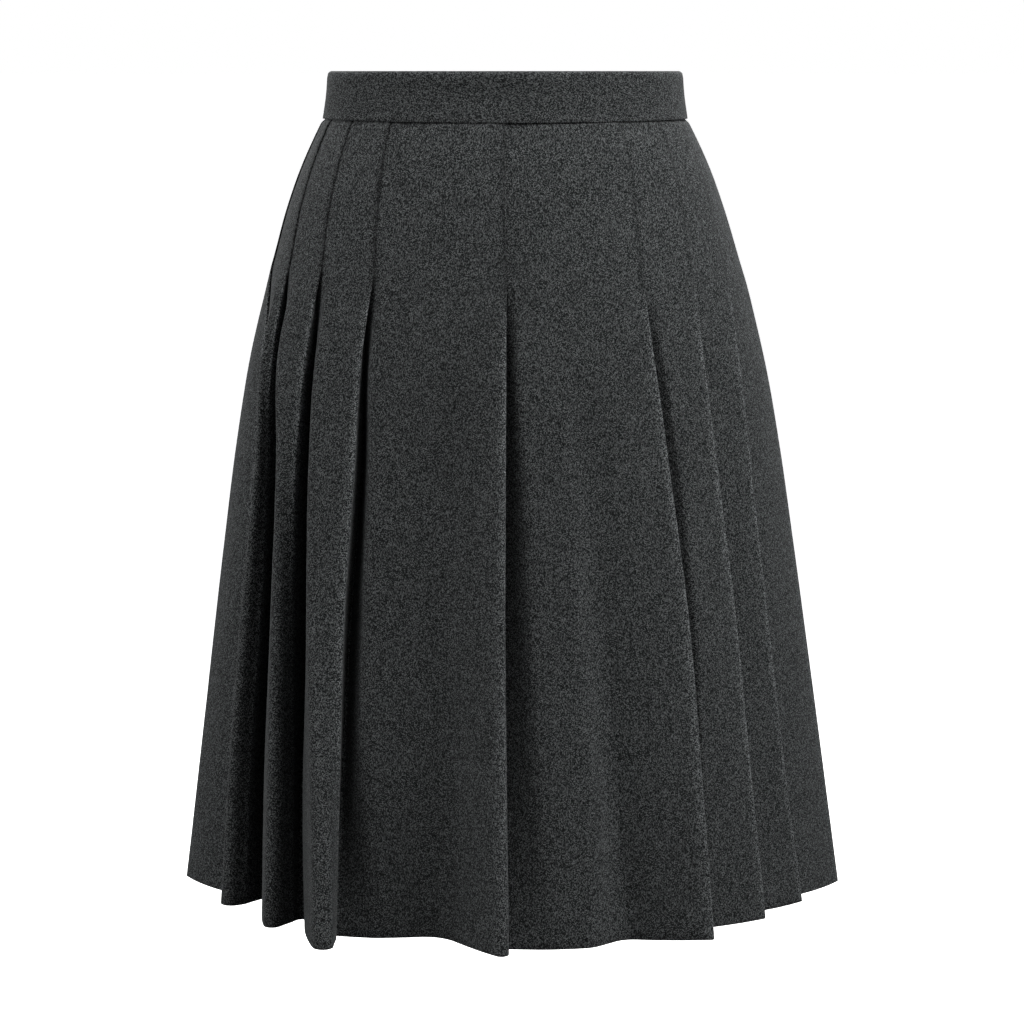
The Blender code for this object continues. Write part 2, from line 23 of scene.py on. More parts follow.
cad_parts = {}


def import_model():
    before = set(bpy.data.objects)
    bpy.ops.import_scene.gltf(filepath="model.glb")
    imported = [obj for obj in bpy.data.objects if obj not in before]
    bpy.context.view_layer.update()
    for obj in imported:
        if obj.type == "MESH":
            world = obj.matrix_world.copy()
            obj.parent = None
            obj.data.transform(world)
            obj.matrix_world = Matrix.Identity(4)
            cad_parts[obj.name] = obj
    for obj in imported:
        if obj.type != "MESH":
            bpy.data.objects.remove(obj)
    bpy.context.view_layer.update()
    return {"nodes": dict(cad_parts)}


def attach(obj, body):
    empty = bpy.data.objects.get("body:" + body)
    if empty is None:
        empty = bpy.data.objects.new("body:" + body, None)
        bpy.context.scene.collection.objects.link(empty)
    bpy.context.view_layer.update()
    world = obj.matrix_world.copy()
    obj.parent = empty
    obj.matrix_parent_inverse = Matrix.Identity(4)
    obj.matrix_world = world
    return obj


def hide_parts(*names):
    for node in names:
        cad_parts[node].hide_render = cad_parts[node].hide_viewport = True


log = logging.getLogger("skirt")

MM = 0.001
BODY = "root"
CLOTH_UV = "cloth"
# Attribute that holds the painted highlight and painted shade along the pleats' fold edges.
FOLD_SHADING = "painted_fold_shading"
FLOOR_HEIGHT = -1.07


class Side(Enum):
    """Which side of the running cloth a fold's roller is on."""

    OUTER = 1
    INNER = -1


class Hold(Enum):
    """How a sheet is held."""

    HUNG = "hung"
    FOLDED = "folded"


class Slot(Enum):
    """Material slots of the record."""

    SUITING = "suiting"
    BAND = "band"
    BUTTON = "button"


# ---------------------------------------------------------------------------------------------- tables


@dataclass(frozen=True)
class Section:
    """One level: its drop below the top edge and its oval, in millimetres."""

    drop: float
    half_width: float
    half_depth: float
    centre_x: float


@dataclass(frozen=True)
class Pleat:
    """One knife pleat, stitched shut from the waist down to the drop stitch_end.

    An angle places its outer fold round the oval, in degrees from the centre front towards +X. Below the
    stitching it opens: each row gives the angle, how far the outer fold lies inside the oval, its radius, how
    far back the inner fold lies, how much deeper, and that fold's radius. Lengths are millimetres.
    panel_points is how many points the mesh has across the panel that ends at the pleat.
    """

    name: str
    waist_angle: float
    hip_angle: float
    stitch_end: float
    panel_points: int
    rows: tuple[tuple[float, ...], ...]


@dataclass(frozen=True)
class Bend:
    """A soft bend down the panel that ends at a pleat: a shoulder on its outer side, a trough on its inner.

    Each row gives its angle, its depth inside the oval and its radius, in degrees and millimetres.
    """

    panel: str
    side: Side
    rows: tuple[tuple[float, ...], ...]


@dataclass(frozen=True)
class Crease:
    """A soft trough or ridge down a panel, given in a table.

    panel names the pleat that the panel ends at. Drops and widths are millimetres, and the places are shares
    of the panel's width. depth is millimetres inward, or outward if negative, at its fullest.
    """

    panel: str
    top: float
    bottom: float
    place_top: float
    place_bottom: float
    reach_top: float
    reach_bottom: float
    depth: float


BAND_SECTIONS = (
    Section(drop=0.0, half_width=131.2, half_depth=91.6, centre_x=-1.0),
    Section(drop=18.0, half_width=132.2, half_depth=92.6, centre_x=-1.0),
    Section(drop=37.0, half_width=135.1, half_depth=95.7, centre_x=-1.0),
)

SKIRT_SECTIONS = (
    Section(drop=34.0, half_width=134.2, half_depth=94.9, centre_x=-1.1),
    Section(drop=48.0, half_width=141.2, half_depth=99.4, centre_x=-1.0),
    Section(drop=70.0, half_width=151.2, half_depth=106.0, centre_x=-0.9),
    Section(drop=100.0, half_width=162.2, half_depth=113.5, centre_x=-0.8),
    Section(drop=138.0, half_width=173.6, half_depth=121.5, centre_x=-0.2),
    Section(drop=156.0, half_width=179.2, half_depth=125.0, centre_x=-0.1),
    Section(drop=180.0, half_width=185.4, half_depth=129.5, centre_x=0.0),
    Section(drop=220.0, half_width=194.5, half_depth=136.5, centre_x=0.3),
    Section(drop=275.0, half_width=204.2, half_depth=146.0, centre_x=0.6),
    Section(drop=350.0, half_width=215.0, half_depth=159.0, centre_x=1.2),
    Section(drop=440.0, half_width=227.2, half_depth=175.0, centre_x=2.1),
    Section(drop=530.0, half_width=239.2, half_depth=191.5, centre_x=3.1),
    Section(drop=612.0, half_width=250.3, half_depth=206.0, centre_x=4.0),
)

STAGES = (193.0, 275.0, 384.0, 508.0, 612.0)

# name, waist and hip angles, stitch end, panel points, then a row for each of STAGES:
# angle, sink, fold radius, run, depth, valley radius
PLEATS = (
    Pleat("side_right", -90.0, -83.5, 143, 22, (
        (-78.6, 6.0, 0.8, 7, 6, 0.8),
        (-75.0, 13.0, 1.2, 6, 9, 1.2),
        (-74.0, 17.5, 1.6, 5, 12, 1.6),
        (-75.6, 23.0, 2.0, 5, 14, 2.0),
        (-75.0, 29.0, 2.4, 6, 15, 2.4),
    )),
    Pleat("right_3", -72.0, -65.3, 142, 22, (
        (-67.1, 4.0, 0.8, 7, 16, 0.8),
        (-64.9, 9.0, 1.2, 11, 26, 1.2),
        (-63.9, 16.0, 1.6, 24, 33, 1.6),
        (-64.4, 21.0, 2.0, 27, 36, 2.0),
        (-63.3, 27.0, 2.4, 11, 33, 2.4),
    )),
    Pleat("right_2", -55.4, -49.9, 141, 24, (
        (-50.0, 1.5, 0.8, 8, 18, 0.8),
        (-50.2, 6.0, 1.2, 9, 30, 1.4),
        (-49.9, 14.0, 1.6, 8, 32, 2.0),
        (-48.3, 24.0, 2.0, 4, 18, 2.6),
        (-44.9, 25.0, 2.2, -3, 12, 4.0),
    )),
    Pleat("right_1", -37.6, -32.6, 144, 24, (
        (-33.0, 0.0, 0.8, 8, 18, 0.8),
        (-32.4, 0.3, 1.2, 10, 33, 1.2),
        (-32.6, 1.0, 1.6, 12, 33, 1.6),
        (-31.6, 2.0, 2.0, 9, 24, 2.0),
        (-30.7, 3.0, 2.2, 4, 12, 2.4),
    )),
    Pleat("centre_front", -0.2, 0.0, 153, 44, (
        (-0.1, 0.0, 0.8, 8, 16, 0.8),
        (-0.3, -1.0, 1.4, 10, 27, 1.2),
        (-0.6, -3.0, 2.4, 13, 33, 1.6),
        (-0.6, -6.0, 4.0, 15, 32, 2.0),
        (-0.5, -8.3, 5.0, 11, 20, 2.2),
    )),
    Pleat("left_1", 38.6, 33.5, 148, 44, (
        (33.5, 0.0, 0.8, 7, 13, 0.8),
        (34.4, 0.0, 1.2, 8, 20, 1.2),
        (35.8, -1.0, 1.6, 8, 26, 1.6),
        (35.5, -2.0, 2.0, 7, 30, 2.0),
        (35.1, -2.2, 2.2, 6, 31, 2.2),
    )),
    Pleat("left_2", 56.6, 49.9, 149, 20, (
        (48.6, 1.0, 0.8, 7, 5, 0.8),
        (48.5, 3.0, 1.2, 7, 9, 1.2),
        (50.4, 7.0, 1.6, 6, 13, 1.6),
        (51.4, 12.0, 1.9, 5, 17, 1.9),
        (52.2, 16.1, 2.1, 4, 20, 2.1),
    )),
    Pleat("left_3", 73.0, 66.1, 147, 20, (
        (63.4, 1.0, 0.8, 7, 4, 0.8),
        (61.6, 3.0, 1.2, 6, 7, 1.2),
        (63.3, 8.0, 1.6, 5, 11, 1.6),
        (65.3, 13.0, 1.9, 4, 15, 1.9),
        (68.5, 17.6, 2.1, 3, 18, 2.1),
    )),
    Pleat("side_left", 90.0, 84.0, 146, 20, (
        (84.0, 0.0, 0.8, 7, 6, 0.8),
        (84.6, 0.0, 1.2, 6, 12, 1.2),
        (85.5, 0.0, 1.6, 5, 18, 1.6),
        (86.5, 0.2, 1.9, 4, 24, 1.9),
        (87.5, 0.8, 2.1, 3, 29, 2.1),
    )),
    Pleat("back_left_3", 107.2, 105.0, 144, 22, (
        (105.1, 0.6, 0.8, 7, 8, 0.8),
        (105.6, 3.0, 1.2, 6, 13, 1.2),
        (106.2, 8.0, 1.6, 5, 16, 1.6),
        (106.6, 14.0, 2.0, 4, 18, 2.0),
        (107.0, 20.0, 2.4, 3, 19, 2.4),
    )),
    Pleat("back_left_2", 124.2, 125.0, 143, 24, (
        (125.2, 0.8, 0.8, 8, 10, 0.8),
        (125.8, 4.0, 1.2, 8, 15, 1.3),
        (126.6, 10.0, 1.6, 7, 17, 1.8),
        (127.2, 17.0, 2.0, 4, 17, 2.4),
        (128.4, 20.0, 2.2, -2, 14, 3.4),
    )),
    Pleat("back_left_1", 142.0, 146.4, 146, 24, (
        (146.2, 0.0, 0.8, 8, 12, 0.8),
        (146.4, 0.2, 1.2, 9, 19, 1.2),
        (146.2, 0.6, 1.6, 10, 19, 1.6),
        (146.8, 1.2, 2.0, 8, 16, 2.0),
        (147.4, 2.0, 2.2, 4, 13, 2.4),
    )),
    Pleat("centre_back", 180.0, 180.0, 152, 44, (
        (179.9, 0.0, 0.8, 7, 11, 0.8),
        (179.6, -0.8, 1.4, 9, 18, 1.2),
        (179.4, -2.4, 2.2, 10, 22, 1.6),
        (179.3, -4.6, 3.4, 11, 22, 2.0),
        (179.0, -6.6, 4.4, 10, 19, 2.2),
    )),
    Pleat("back_right_1", 218.0, 213.6, 147, 44, (
        (213.6, 0.0, 0.8, 7, 10, 0.8),
        (214.2, -0.4, 1.2, 8, 16, 1.2),
        (215.0, -1.4, 1.6, 8, 21, 1.6),
        (215.1, -2.6, 2.0, 7, 26, 2.0),
        (214.8, -3.4, 2.2, 6, 29, 2.2),
    )),
    Pleat("back_right_2", 235.8, 235.0, 144, 20, (
        (234.4, 0.8, 0.8, 7, 5, 0.8),
        (234.2, 2.4, 1.2, 7, 9, 1.2),
        (235.0, 6.0, 1.6, 6, 13, 1.6),
        (235.4, 9.5, 1.9, 5, 18, 1.9),
        (236.0, 12.6, 2.1, 4, 21, 2.1),
    )),
    Pleat("back_right_3", 252.8, 255.0, 145, 20, (
        (254.2, 0.8, 0.8, 7, 5, 0.8),
        (253.4, 2.6, 1.2, 6, 9, 1.2),
        (253.8, 6.4, 1.6, 5, 14, 1.6),
        (254.4, 10.4, 1.9, 4, 19, 1.9),
        (255.4, 13.0, 2.1, 3, 23, 2.1),
    )),
)

# name of the pleat that the panel ends at, side, then a row for each of STAGES: angle, depth, radius
BENDS = (
    Bend("side_right", Side.OUTER, (
        (-93.0, 0.0, 3.0), (-93.0, 0.0, 3.5), (-92.6, 0.0, 4.0), (-92.0, 0.0, 4.5), (-91.4, 0.0, 5.0),
    )),
    Bend("right_3", Side.OUTER, (
        (-70.2, 0.3, 2.0), (-65.4, 2.2, 2.4), (-65.8, 5.6, 5.5), (-66.2, 10.0, 6.0), (-65.7, 14.4, 9.0),
    )),
    Bend("right_2", Side.OUTER, (
        (-60.6, 0.0, 2.4), (-54.9, 0.8, 4.0), (-51.5, 2.0, 5.2), (-48.4, 3.5, 5.8), (-46.2, 4.5, 6.8),
    )),
    Bend("right_1", Side.OUTER, (
        (-45.2, -0.4, 4.0), (-42.6, -2.0, 7.0), (-38.9, -6.0, 7.0), (-33.8, -13.6, 7.5), (-30.6, -21.1, 7.0),
    )),
    Bend("centre_front", Side.OUTER, (
        (-29.8, 0.8, 5.0), (-27.2, 3.0, 13.0), (-26.8, 6.4, 15.0), (-26.8, 12.0, 16.0), (-25.9, 20.4, 15.0),
    )),
    Bend("centre_front", Side.INNER, (
        (-14.0, 1.2, 20.0), (-14.2, 8.0, 24.0), (-14.2, 16.4, 26.0), (-13.8, 25.0, 28.0), (-15.0, 35.0, 28.0),
    )),
    Bend("left_1", Side.OUTER, (
        (3.2, 0.5, 5.0), (4.6, 2.0, 9.0), (5.4, 4.0, 13.0), (6.0, 6.4, 15.0), (6.2, 8.3, 16.0),
    )),
    Bend("left_1", Side.OUTER, (
        (11.0, 0.2, 18.0), (12.0, 1.0, 20.0), (12.5, 3.2, 20.0), (13.2, 6.2, 20.0), (12.2, 8.3, 22.0),
    )),
    Bend("left_1", Side.INNER, (
        (17.0, 1.0, 14.0), (18.0, 4.8, 16.0), (19.0, 10.0, 18.0), (20.0, 16.0, 20.0), (20.6, 21.6, 22.0),
    )),
    Bend("left_2", Side.OUTER, (
        (36.5, 1.5, 2.4), (38.0, 3.5, 4.0), (39.2, 6.0, 5.0), (39.2, 16.0, 6.0), (39.0, 24.8, 7.0),
    )),
    Bend("back_left_3", Side.OUTER, (
        (99.6, 0.2, 2.4), (101.6, 0.6, 3.0), (102.2, 1.6, 3.6), (102.8, 3.0, 4.2), (103.2, 4.4, 4.8),
    )),
    Bend("back_left_2", Side.OUTER, (
        (116.4, 0.0, 2.6), (119.2, 0.2, 3.4), (121.6, 0.4, 4.0), (123.4, 0.6, 4.8), (125.2, 0.6, 5.6),
    )),
    Bend("back_left_1", Side.OUTER, (
        (132.8, -0.2, 4.0), (135.4, -1.2, 6.0), (139.0, -3.4, 7.0), (142.4, -7.4, 8.0), (145.2, -11.4, 9.0),
    )),
    Bend("centre_back", Side.OUTER, (
        (149.6, 0.6, 5.0), (151.3, 2.3, 11.0), (152.2, 4.8, 13.0), (153.0, 8.8, 14.0), (154.0, 13.2, 15.0),
    )),
    Bend("centre_back", Side.INNER, (
        (166.4, 1.0, 20.0), (166.0, 6.2, 24.0), (165.6, 13.0, 26.0), (165.4, 20.0, 28.0), (165.2, 25.4, 28.0),
    )),
    Bend("back_right_1", Side.OUTER, (
        (183.3, 0.5, 5.0), (184.5, 1.8, 8.0), (185.4, 3.4, 12.0), (186.0, 5.2, 14.0), (186.3, 6.8, 15.0),
    )),
    Bend("back_right_1", Side.OUTER, (
        (190.4, 0.2, 18.0), (191.0, 0.8, 20.0), (191.8, 2.4, 20.0), (192.4, 4.8, 20.0), (191.8, 6.8, 22.0),
    )),
    Bend("back_right_1", Side.INNER, (
        (196.6, 0.8, 14.0), (197.8, 4.0, 16.0), (199.0, 8.2, 18.0), (200.2, 13.0, 20.0), (200.8, 17.2, 22.0),
    )),
)

# panel, top and bottom drop, place at top and bottom, reach at top and bottom, depth
CREASES = (
    Crease("left_1", 156.0, 640.0, 0.50, 0.60, 10.0, 22.0, 1.6),
    Crease("centre_front", 185.0, 640.0, 0.72, 0.74, 16.0, 30.0, 1.4),
    Crease("centre_front", 60.0, 230.0, 0.35, 0.42, 18.0, 24.0, 0.6),
    Crease("centre_back", 190.0, 640.0, 0.68, 0.70, 16.0, 28.0, 1.3),
    Crease("back_right_1", 165.0, 640.0, 0.46, 0.55, 12.0, 24.0, 1.5),
    Crease("back_right_1", 70.0, 220.0, 0.60, 0.55, 18.0, 22.0, 0.6),
)


# ---------------------------------------------------------------------------------------------- sums


def blend(start: float | np.ndarray, end: float | np.ndarray, share: float) -> float | np.ndarray:
    """Value a share of the way from start to end."""
    return start + (end - start) * share


def bump(place: float, centre: float, reach: float) -> float:
    """Smooth bump, 1 at its centre and 0 from its reach outward."""
    return math.cos(0.5 * math.pi * min(1.0, abs(place - centre) / reach)) ** 2


def ease(share: float) -> float:
    """Share from 0 to 1 that starts and ends softly."""
    held = min(1.0, max(0.0, share))
    return held * held * (3.0 - 2.0 * held)


def heading(angle: float) -> tuple[np.ndarray, np.ndarray]:
    """Unit vector of a direction of travel, and the one to its left."""
    ahead = np.array([math.cos(angle), math.sin(angle)])
    return ahead, np.array([-ahead[1], ahead[0]])


def smooth_value(places: np.ndarray, values: np.ndarray, place: float) -> float:
    """Reads a smooth curve through a table.

    Args:
        places: Rising places of the table.
        values: Value at each place.
        place: Where to read the curve.

    Returns:
        The value there, on a cubic whose slopes follow the neighbouring entries.
    """
    slopes = np.gradient(values, places)
    index = int(np.clip(np.searchsorted(places, place) - 1, 0, len(places) - 2))
    width = places[index + 1] - places[index]
    share = (place - places[index]) / width
    squared = share * share
    cubed = squared * share
    start = (2.0 * cubed - 3.0 * squared + 1.0) * values[index]
    start_slope = (cubed - 2.0 * squared + share) * width * slopes[index]
    end = (3.0 * squared - 2.0 * cubed) * values[index + 1]
    end_slope = (cubed - squared) * width * slopes[index + 1]
    return float(start + start_slope + end + end_slope)


class Oval:
    """The oval of one level, measured by the distance run along it from the centre front."""

    samples = 2881

    def __init__(self, half_width: float, half_depth: float, centre_x: float, drop: float) -> None:
        """Works out the distances along the oval.

        Args:
            half_width: Half its width in millimetres.
            half_depth: Half its depth in millimetres.
            centre_x: Place of its centre in millimetres.
            drop: Drop below the top edge in millimetres.
        """
        self.half_width = half_width * MM
        self.half_depth = half_depth * MM
        self.centre_x = centre_x * MM
        self.drop = drop
        self.angles = np.linspace(math.radians(-180.0), math.radians(540.0), self.samples)
        speeds = np.hypot(self.half_width * np.cos(self.angles), self.half_depth * np.sin(self.angles))
        steps = 0.5 * (speeds[1:] + speeds[:-1]) * np.diff(self.angles)
        lengths = np.concatenate(([0.0], np.cumsum(steps)))
        self.lengths = lengths - np.interp(0.0, self.angles, lengths)

    def distance(self, degrees: float) -> float:
        """Distance from the centre front to an angle."""
        return float(np.interp(math.radians(degrees), self.angles, self.lengths))

    def points(self, places: np.ndarray) -> np.ndarray:
        """Turns places on the oval into points in space.

        Args:
            places: Rows of distance along the oval and depth inside it.

        Returns:
            Rows of x, y and z.
        """
        angles = np.interp(places[:, 0], self.lengths, self.angles)
        along = np.stack((self.half_width * np.cos(angles), self.half_depth * np.sin(angles)), axis=1)
        along /= np.linalg.norm(along, axis=1, keepdims=True)
        on_oval = np.stack((self.half_width * np.sin(angles), -self.half_depth * np.cos(angles)), axis=1)
        inward = np.stack((-along[:, 1], along[:, 0]), axis=1)
        plan = on_oval + places[:, 1:2] * inward
        height = np.full(len(plan), -self.drop * MM)
        return np.stack((plan[:, 0] + self.centre_x, plan[:, 1], height), axis=1)


class OvalStack:
    """A table of sections, read at any drop."""

    def __init__(self, sections: tuple[Section, ...]) -> None:
        """Keeps the table's columns as arrays.

        Args:
            sections: The table, from the top down.
        """
        self.drops = np.array([section.drop for section in sections])
        self.half_widths = np.array([section.half_width for section in sections])
        self.half_depths = np.array([section.half_depth for section in sections])
        self.centres = np.array([section.centre_x for section in sections])

    def oval(self, drop: float) -> Oval:
        """Oval between the sections.

        Args:
            drop: How far down, in millimetres.

        Returns:
            The oval at that drop.
        """
        return Oval(
            smooth_value(self.drops, self.half_widths, drop),
            smooth_value(self.drops, self.half_depths, drop),
            smooth_value(self.drops, self.centres, drop),
            drop,
        )


@dataclass
class Fold:
    """A fold: a circle that the cloth runs round, on one side of it."""

    centre: np.ndarray
    radius: float
    side: Side

    def direction_to(self, other: Fold) -> float:
        """Direction of the cloth's straight run to the next fold.

        Args:
            other: The next fold.

        Returns:
            The direction in radians.
        """
        gap = other.centre - self.centre
        offset = self.side.value * self.radius - other.side.value * other.radius
        tilt = math.asin(offset / float(np.linalg.norm(gap)))
        return math.atan2(gap[1], gap[0]) + tilt

    def touch(self, angle: float) -> np.ndarray:
        """Point of the circle where the cloth travels in a direction."""
        return self.centre - self.side.value * self.radius * heading(angle)[1]

    def turn(self, angle_in: float, angle_out: float, count: int) -> list[np.ndarray]:
        """Points of the cloth round the fold.

        Args:
            angle_in: Direction in which the cloth arrives.
            angle_out: Direction in which it leaves.
            count: How many points to give.

        Returns:
            The points, in the order of travel.
        """
        sweep = self.sweep(angle_in, angle_out)
        shares = np.linspace(0.0, 1.0, count)
        return [self.touch(angle_in + self.side.value * sweep * share) for share in shares]

    def sweep(self, angle_in: float, angle_out: float) -> float:
        """How far the cloth turns round the fold, in radians."""
        return (self.side.value * (angle_out - angle_in)) % (2.0 * math.pi)


@dataclass
class ClothLine:
    """Middle line of the cloth at one level, with what the material and the mesh need at each point."""

    places: list[np.ndarray] = field(default_factory=list)
    # Painted highlight (above 0) or painted shade (below 0) of the cloth's colour at each point, along the
    # folds' edges.
    painted_fold_shading: list[float] = field(default_factory=list)
    breaks: list[int] = field(default_factory=list)
    middles: list[int] = field(default_factory=list)

    def add(self, points: list[np.ndarray], painted_fold_shading: list[float]) -> None:
        """Runs the line on through some points."""
        self.places += points
        self.painted_fold_shading += painted_fold_shading


@dataclass
class SkirtForm:
    """The hanging form of the pleated cloth.

    The closed_ values hold in the stitched part. stitched_shade is the painted shade that darkens a fold's
    edge there, against 1 for the painted highlight on the edge of a sharp fold below, which it turns into
    over fold_shading_reach; beside_fold is the share of it painted just before the fold. The painted
    highlight or shade on a fold's edge is weaker the more its radius passes fold_shading_radius.
    """

    cloth_thickness: float = 0.6 * MM
    closed_fold_radius: float = 0.36
    closed_depth: float = 1.55
    closed_run: float = 7.0
    bend_start: float = 12.0
    stitched_shade: float = -0.5
    fold_shading_reach: float = 25.0
    fold_shading_radius: float = 1.4 * MM
    beside_fold: float = 0.35
    outer_turn_points: int = 9
    inner_turn_points: int = 7
    underlay_points: int = 4
    turn_weight: float = 5.0 * MM
    turn_step: float = 0.06
    seam_gap: float = 0.3 * MM
    seam_dip: float = 1.7 * MM
    seam_dip_drop: float = 35.0
    seam_dip_reach: float = 1.9
    hem: float = STAGES[-1]
    stack: OvalStack = field(default_factory=lambda: OvalStack(SKIRT_SECTIONS))

    def hung(
        self,
        stitch_end: float,
        closed: tuple[float, ...],
        rows: tuple[tuple[float, ...], ...],
        drop: float,
        start: float = 0.0,
    ) -> list[float]:
        """Reads the rows of a pleat or bend at a drop.

        Args:
            stitch_end: Drop at which the pleat opens.
            closed: The values that hold down to there.
            rows: The values at each of the stages below. With a start, a row for its end comes first.
            drop: Drop of the level in millimetres.
            start: Length of the start below the stitching, or 0 for none.

        Returns:
            The values at that drop.
        """
        if drop <= stitch_end:
            return list(closed)
        eased = (stitch_end + start,) if start else ()
        places = np.array((stitch_end, *eased, *STAGES))
        columns = zip(closed, *rows)
        return [smooth_value(places, np.array(column), drop) for column in columns]

    def folds(self, pleat: Pleat, oval: Oval, turns: int, inset: float) -> tuple[Fold, Fold]:
        """Outer and inner fold of a pleat at one level.

        Args:
            pleat: The pleat.
            oval: Oval of the level.
            turns: Whole turns to add to its place.
            inset: How far the line lies to the wrong side of the cloth's middle.

        Returns:
            The outer fold and the inner fold.
        """
        top = SKIRT_SECTIONS[0].drop
        stitched = min(1.0, max(0.0, (oval.drop - top) / (pleat.stitch_end - top)))
        radius = self.closed_fold_radius
        closed = (pleat.hip_angle, 0.0, radius, self.closed_run, self.closed_depth, radius)
        found = self.hung(pleat.stitch_end, closed, pleat.rows, oval.drop)
        angle = found[0] if stitched == 1.0 else blend(pleat.waist_angle, pleat.hip_angle, stitched)
        sink, radius, run, depth, valley = (value * MM for value in found[1:])
        along = oval.distance(angle + 360.0 * turns)
        dip = self.seam_dip * math.exp(-(((oval.drop - self.seam_dip_drop) / self.seam_dip_reach) ** 2))
        surface = 0.5 * self.cloth_thickness + dip + sink
        outer = Fold(np.array([along - radius, surface + radius]), radius - inset, Side.OUTER)
        inner = Fold(np.array([along - run, surface + depth - valley]), valley + inset, Side.INNER)
        return outer, inner

    def bends(self, pleat: Pleat, oval: Oval, turns: int, inset: float) -> list[Fold]:
        """Soft bends of the panel that ends at a pleat, at one level.

        Args:
            pleat: The pleat.
            oval: Oval of the level.
            turns: Whole turns to add to their places.
            inset: How far the line lies to the wrong side of the cloth's middle.

        Returns:
            The bends, in order along the panel. In the stitched part there are none.
        """
        before = PLEATS[PLEATS.index(pleat) - 1]
        opening = min(before.stitch_end, pleat.stitch_end)
        if oval.drop <= opening:
            return []
        spread = (pleat.hip_angle - before.hip_angle) % 360.0
        width = (oval.distance(before.hip_angle + spread) - oval.distance(before.hip_angle)) / MM
        made = []
        for bend in BENDS:
            if bend.panel != pleat.name:
                continue
            sign = bend.side.value
            share = (bend.rows[0][0] - before.hip_angle) % 360.0 / spread
            level = self.closed_depth * (1.0 - (share * width + self.closed_run) / (width + self.closed_run))
            flush = (bend.rows[0][0], level, bend.rows[0][2])
            rows = (flush, *bend.rows)
            angle, depth, radius = self.hung(opening, flush, rows, oval.drop, self.bend_start)
            along = oval.distance(angle + 360.0 * turns)
            centre = 0.5 * self.cloth_thickness + (depth + sign * radius) * MM
            made.append(Fold(np.array([along, centre]), radius * MM - sign * inset, bend.side))
        return made

    def taut(self, chain: list[Fold]) -> list[Fold]:
        """Leaves out the bends that the cloth passes without touching.

        Args:
            chain: The inner fold, the bends and the outer fold.

        Returns:
            The folds and bends that the cloth turns round.
        """
        kept = list(chain)
        while len(kept) > 2:
            ways = [one.direction_to(other) for one, other in zip(kept, kept[1:])]
            turns = [kept[n].sweep(ways[n - 1], ways[n]) for n in range(1, len(kept) - 1)]
            slack = [turn if turn > math.pi else 0.0 for turn in turns]
            if max(slack) == 0.0:
                break
            del kept[1 + slack.index(max(slack))]
        return kept

    def panel_run(
        self, pleat: Pleat, chain: list[Fold], drop: float
    ) -> tuple[list[np.ndarray], float, float]:
        """Inner points of the panel from one pleat's inner fold to the next one's outer fold.

        Args:
            pleat: The pleat that the panel ends at.
            chain: The inner fold, the bends and the outer fold.
            drop: Drop of the level in millimetres.

        Returns:
            The points, the direction in which the cloth leaves the inner fold, and that in which it arrives.
        """
        kept = self.taut(chain)
        ways = [one.direction_to(other) for one, other in zip(kept, kept[1:])]
        track = [kept[0].touch(ways[0])]
        turned = [0.0]
        for number in range(1, len(kept) - 1):
            sweep = kept[number].sweep(ways[number - 1], ways[number])
            steps = max(2, int(sweep / self.turn_step) + 1)
            track += kept[number].turn(ways[number - 1], ways[number], steps)
            turned += [0.0] + [sweep / (steps - 1)] * (steps - 1)
        track.append(kept[-1].touch(ways[-1]))
        turned.append(0.0)
        line = np.array(track)
        steps = np.linalg.norm(np.diff(line, axis=0), axis=1)
        length = np.concatenate(([0.0], np.cumsum(steps)))
        measure = length + self.turn_weight * np.cumsum(turned)
        wanted = measure[-1] * np.arange(1, pleat.panel_points + 1) / (pleat.panel_points + 1)
        along = np.interp(wanted, measure, length)
        points = np.stack([np.interp(along, length, line[:, axis]) for axis in (0, 1)], axis=1)
        ahead = np.gradient(np.vstack((line[:1], points, line[-1:])), axis=0)[1:-1]
        ahead /= np.linalg.norm(ahead, axis=1, keepdims=True)
        creases = [crease for crease in CREASES if crease.panel == pleat.name]
        width = length[-1] / MM
        made = []
        for point, way, share in zip(points, ahead, along / length[-1]):
            sink = sum(self.crease_depth(crease, share, width, drop) for crease in creases)
            made.append(point + np.array([-way[1], way[0]]) * sink * MM)
        return made, ways[0], ways[-1]

    def crease_depth(self, crease: Crease, share: float, width: float, drop: float) -> float:
        """Depth of a crease at a place on its panel.

        Args:
            crease: The crease.
            share: Place across the panel.
            width: The panel's width in millimetres.
            drop: Drop of the level in millimetres.

        Returns:
            Millimetres inward.
        """
        down = (drop - crease.top) / (crease.bottom - crease.top)
        if down <= 0.0 or down >= 1.0:
            return 0.0
        place = blend(crease.place_top, crease.place_bottom, down)
        reach = blend(crease.reach_top, crease.reach_bottom, down)
        fade = ease(down * 4.0) * ease((1.0 - down) * 6.0)
        edge = ease(min(share, 1.0 - share) * width / 6.0)
        return crease.depth * fade * edge * bump(share * width, place * width, reach)

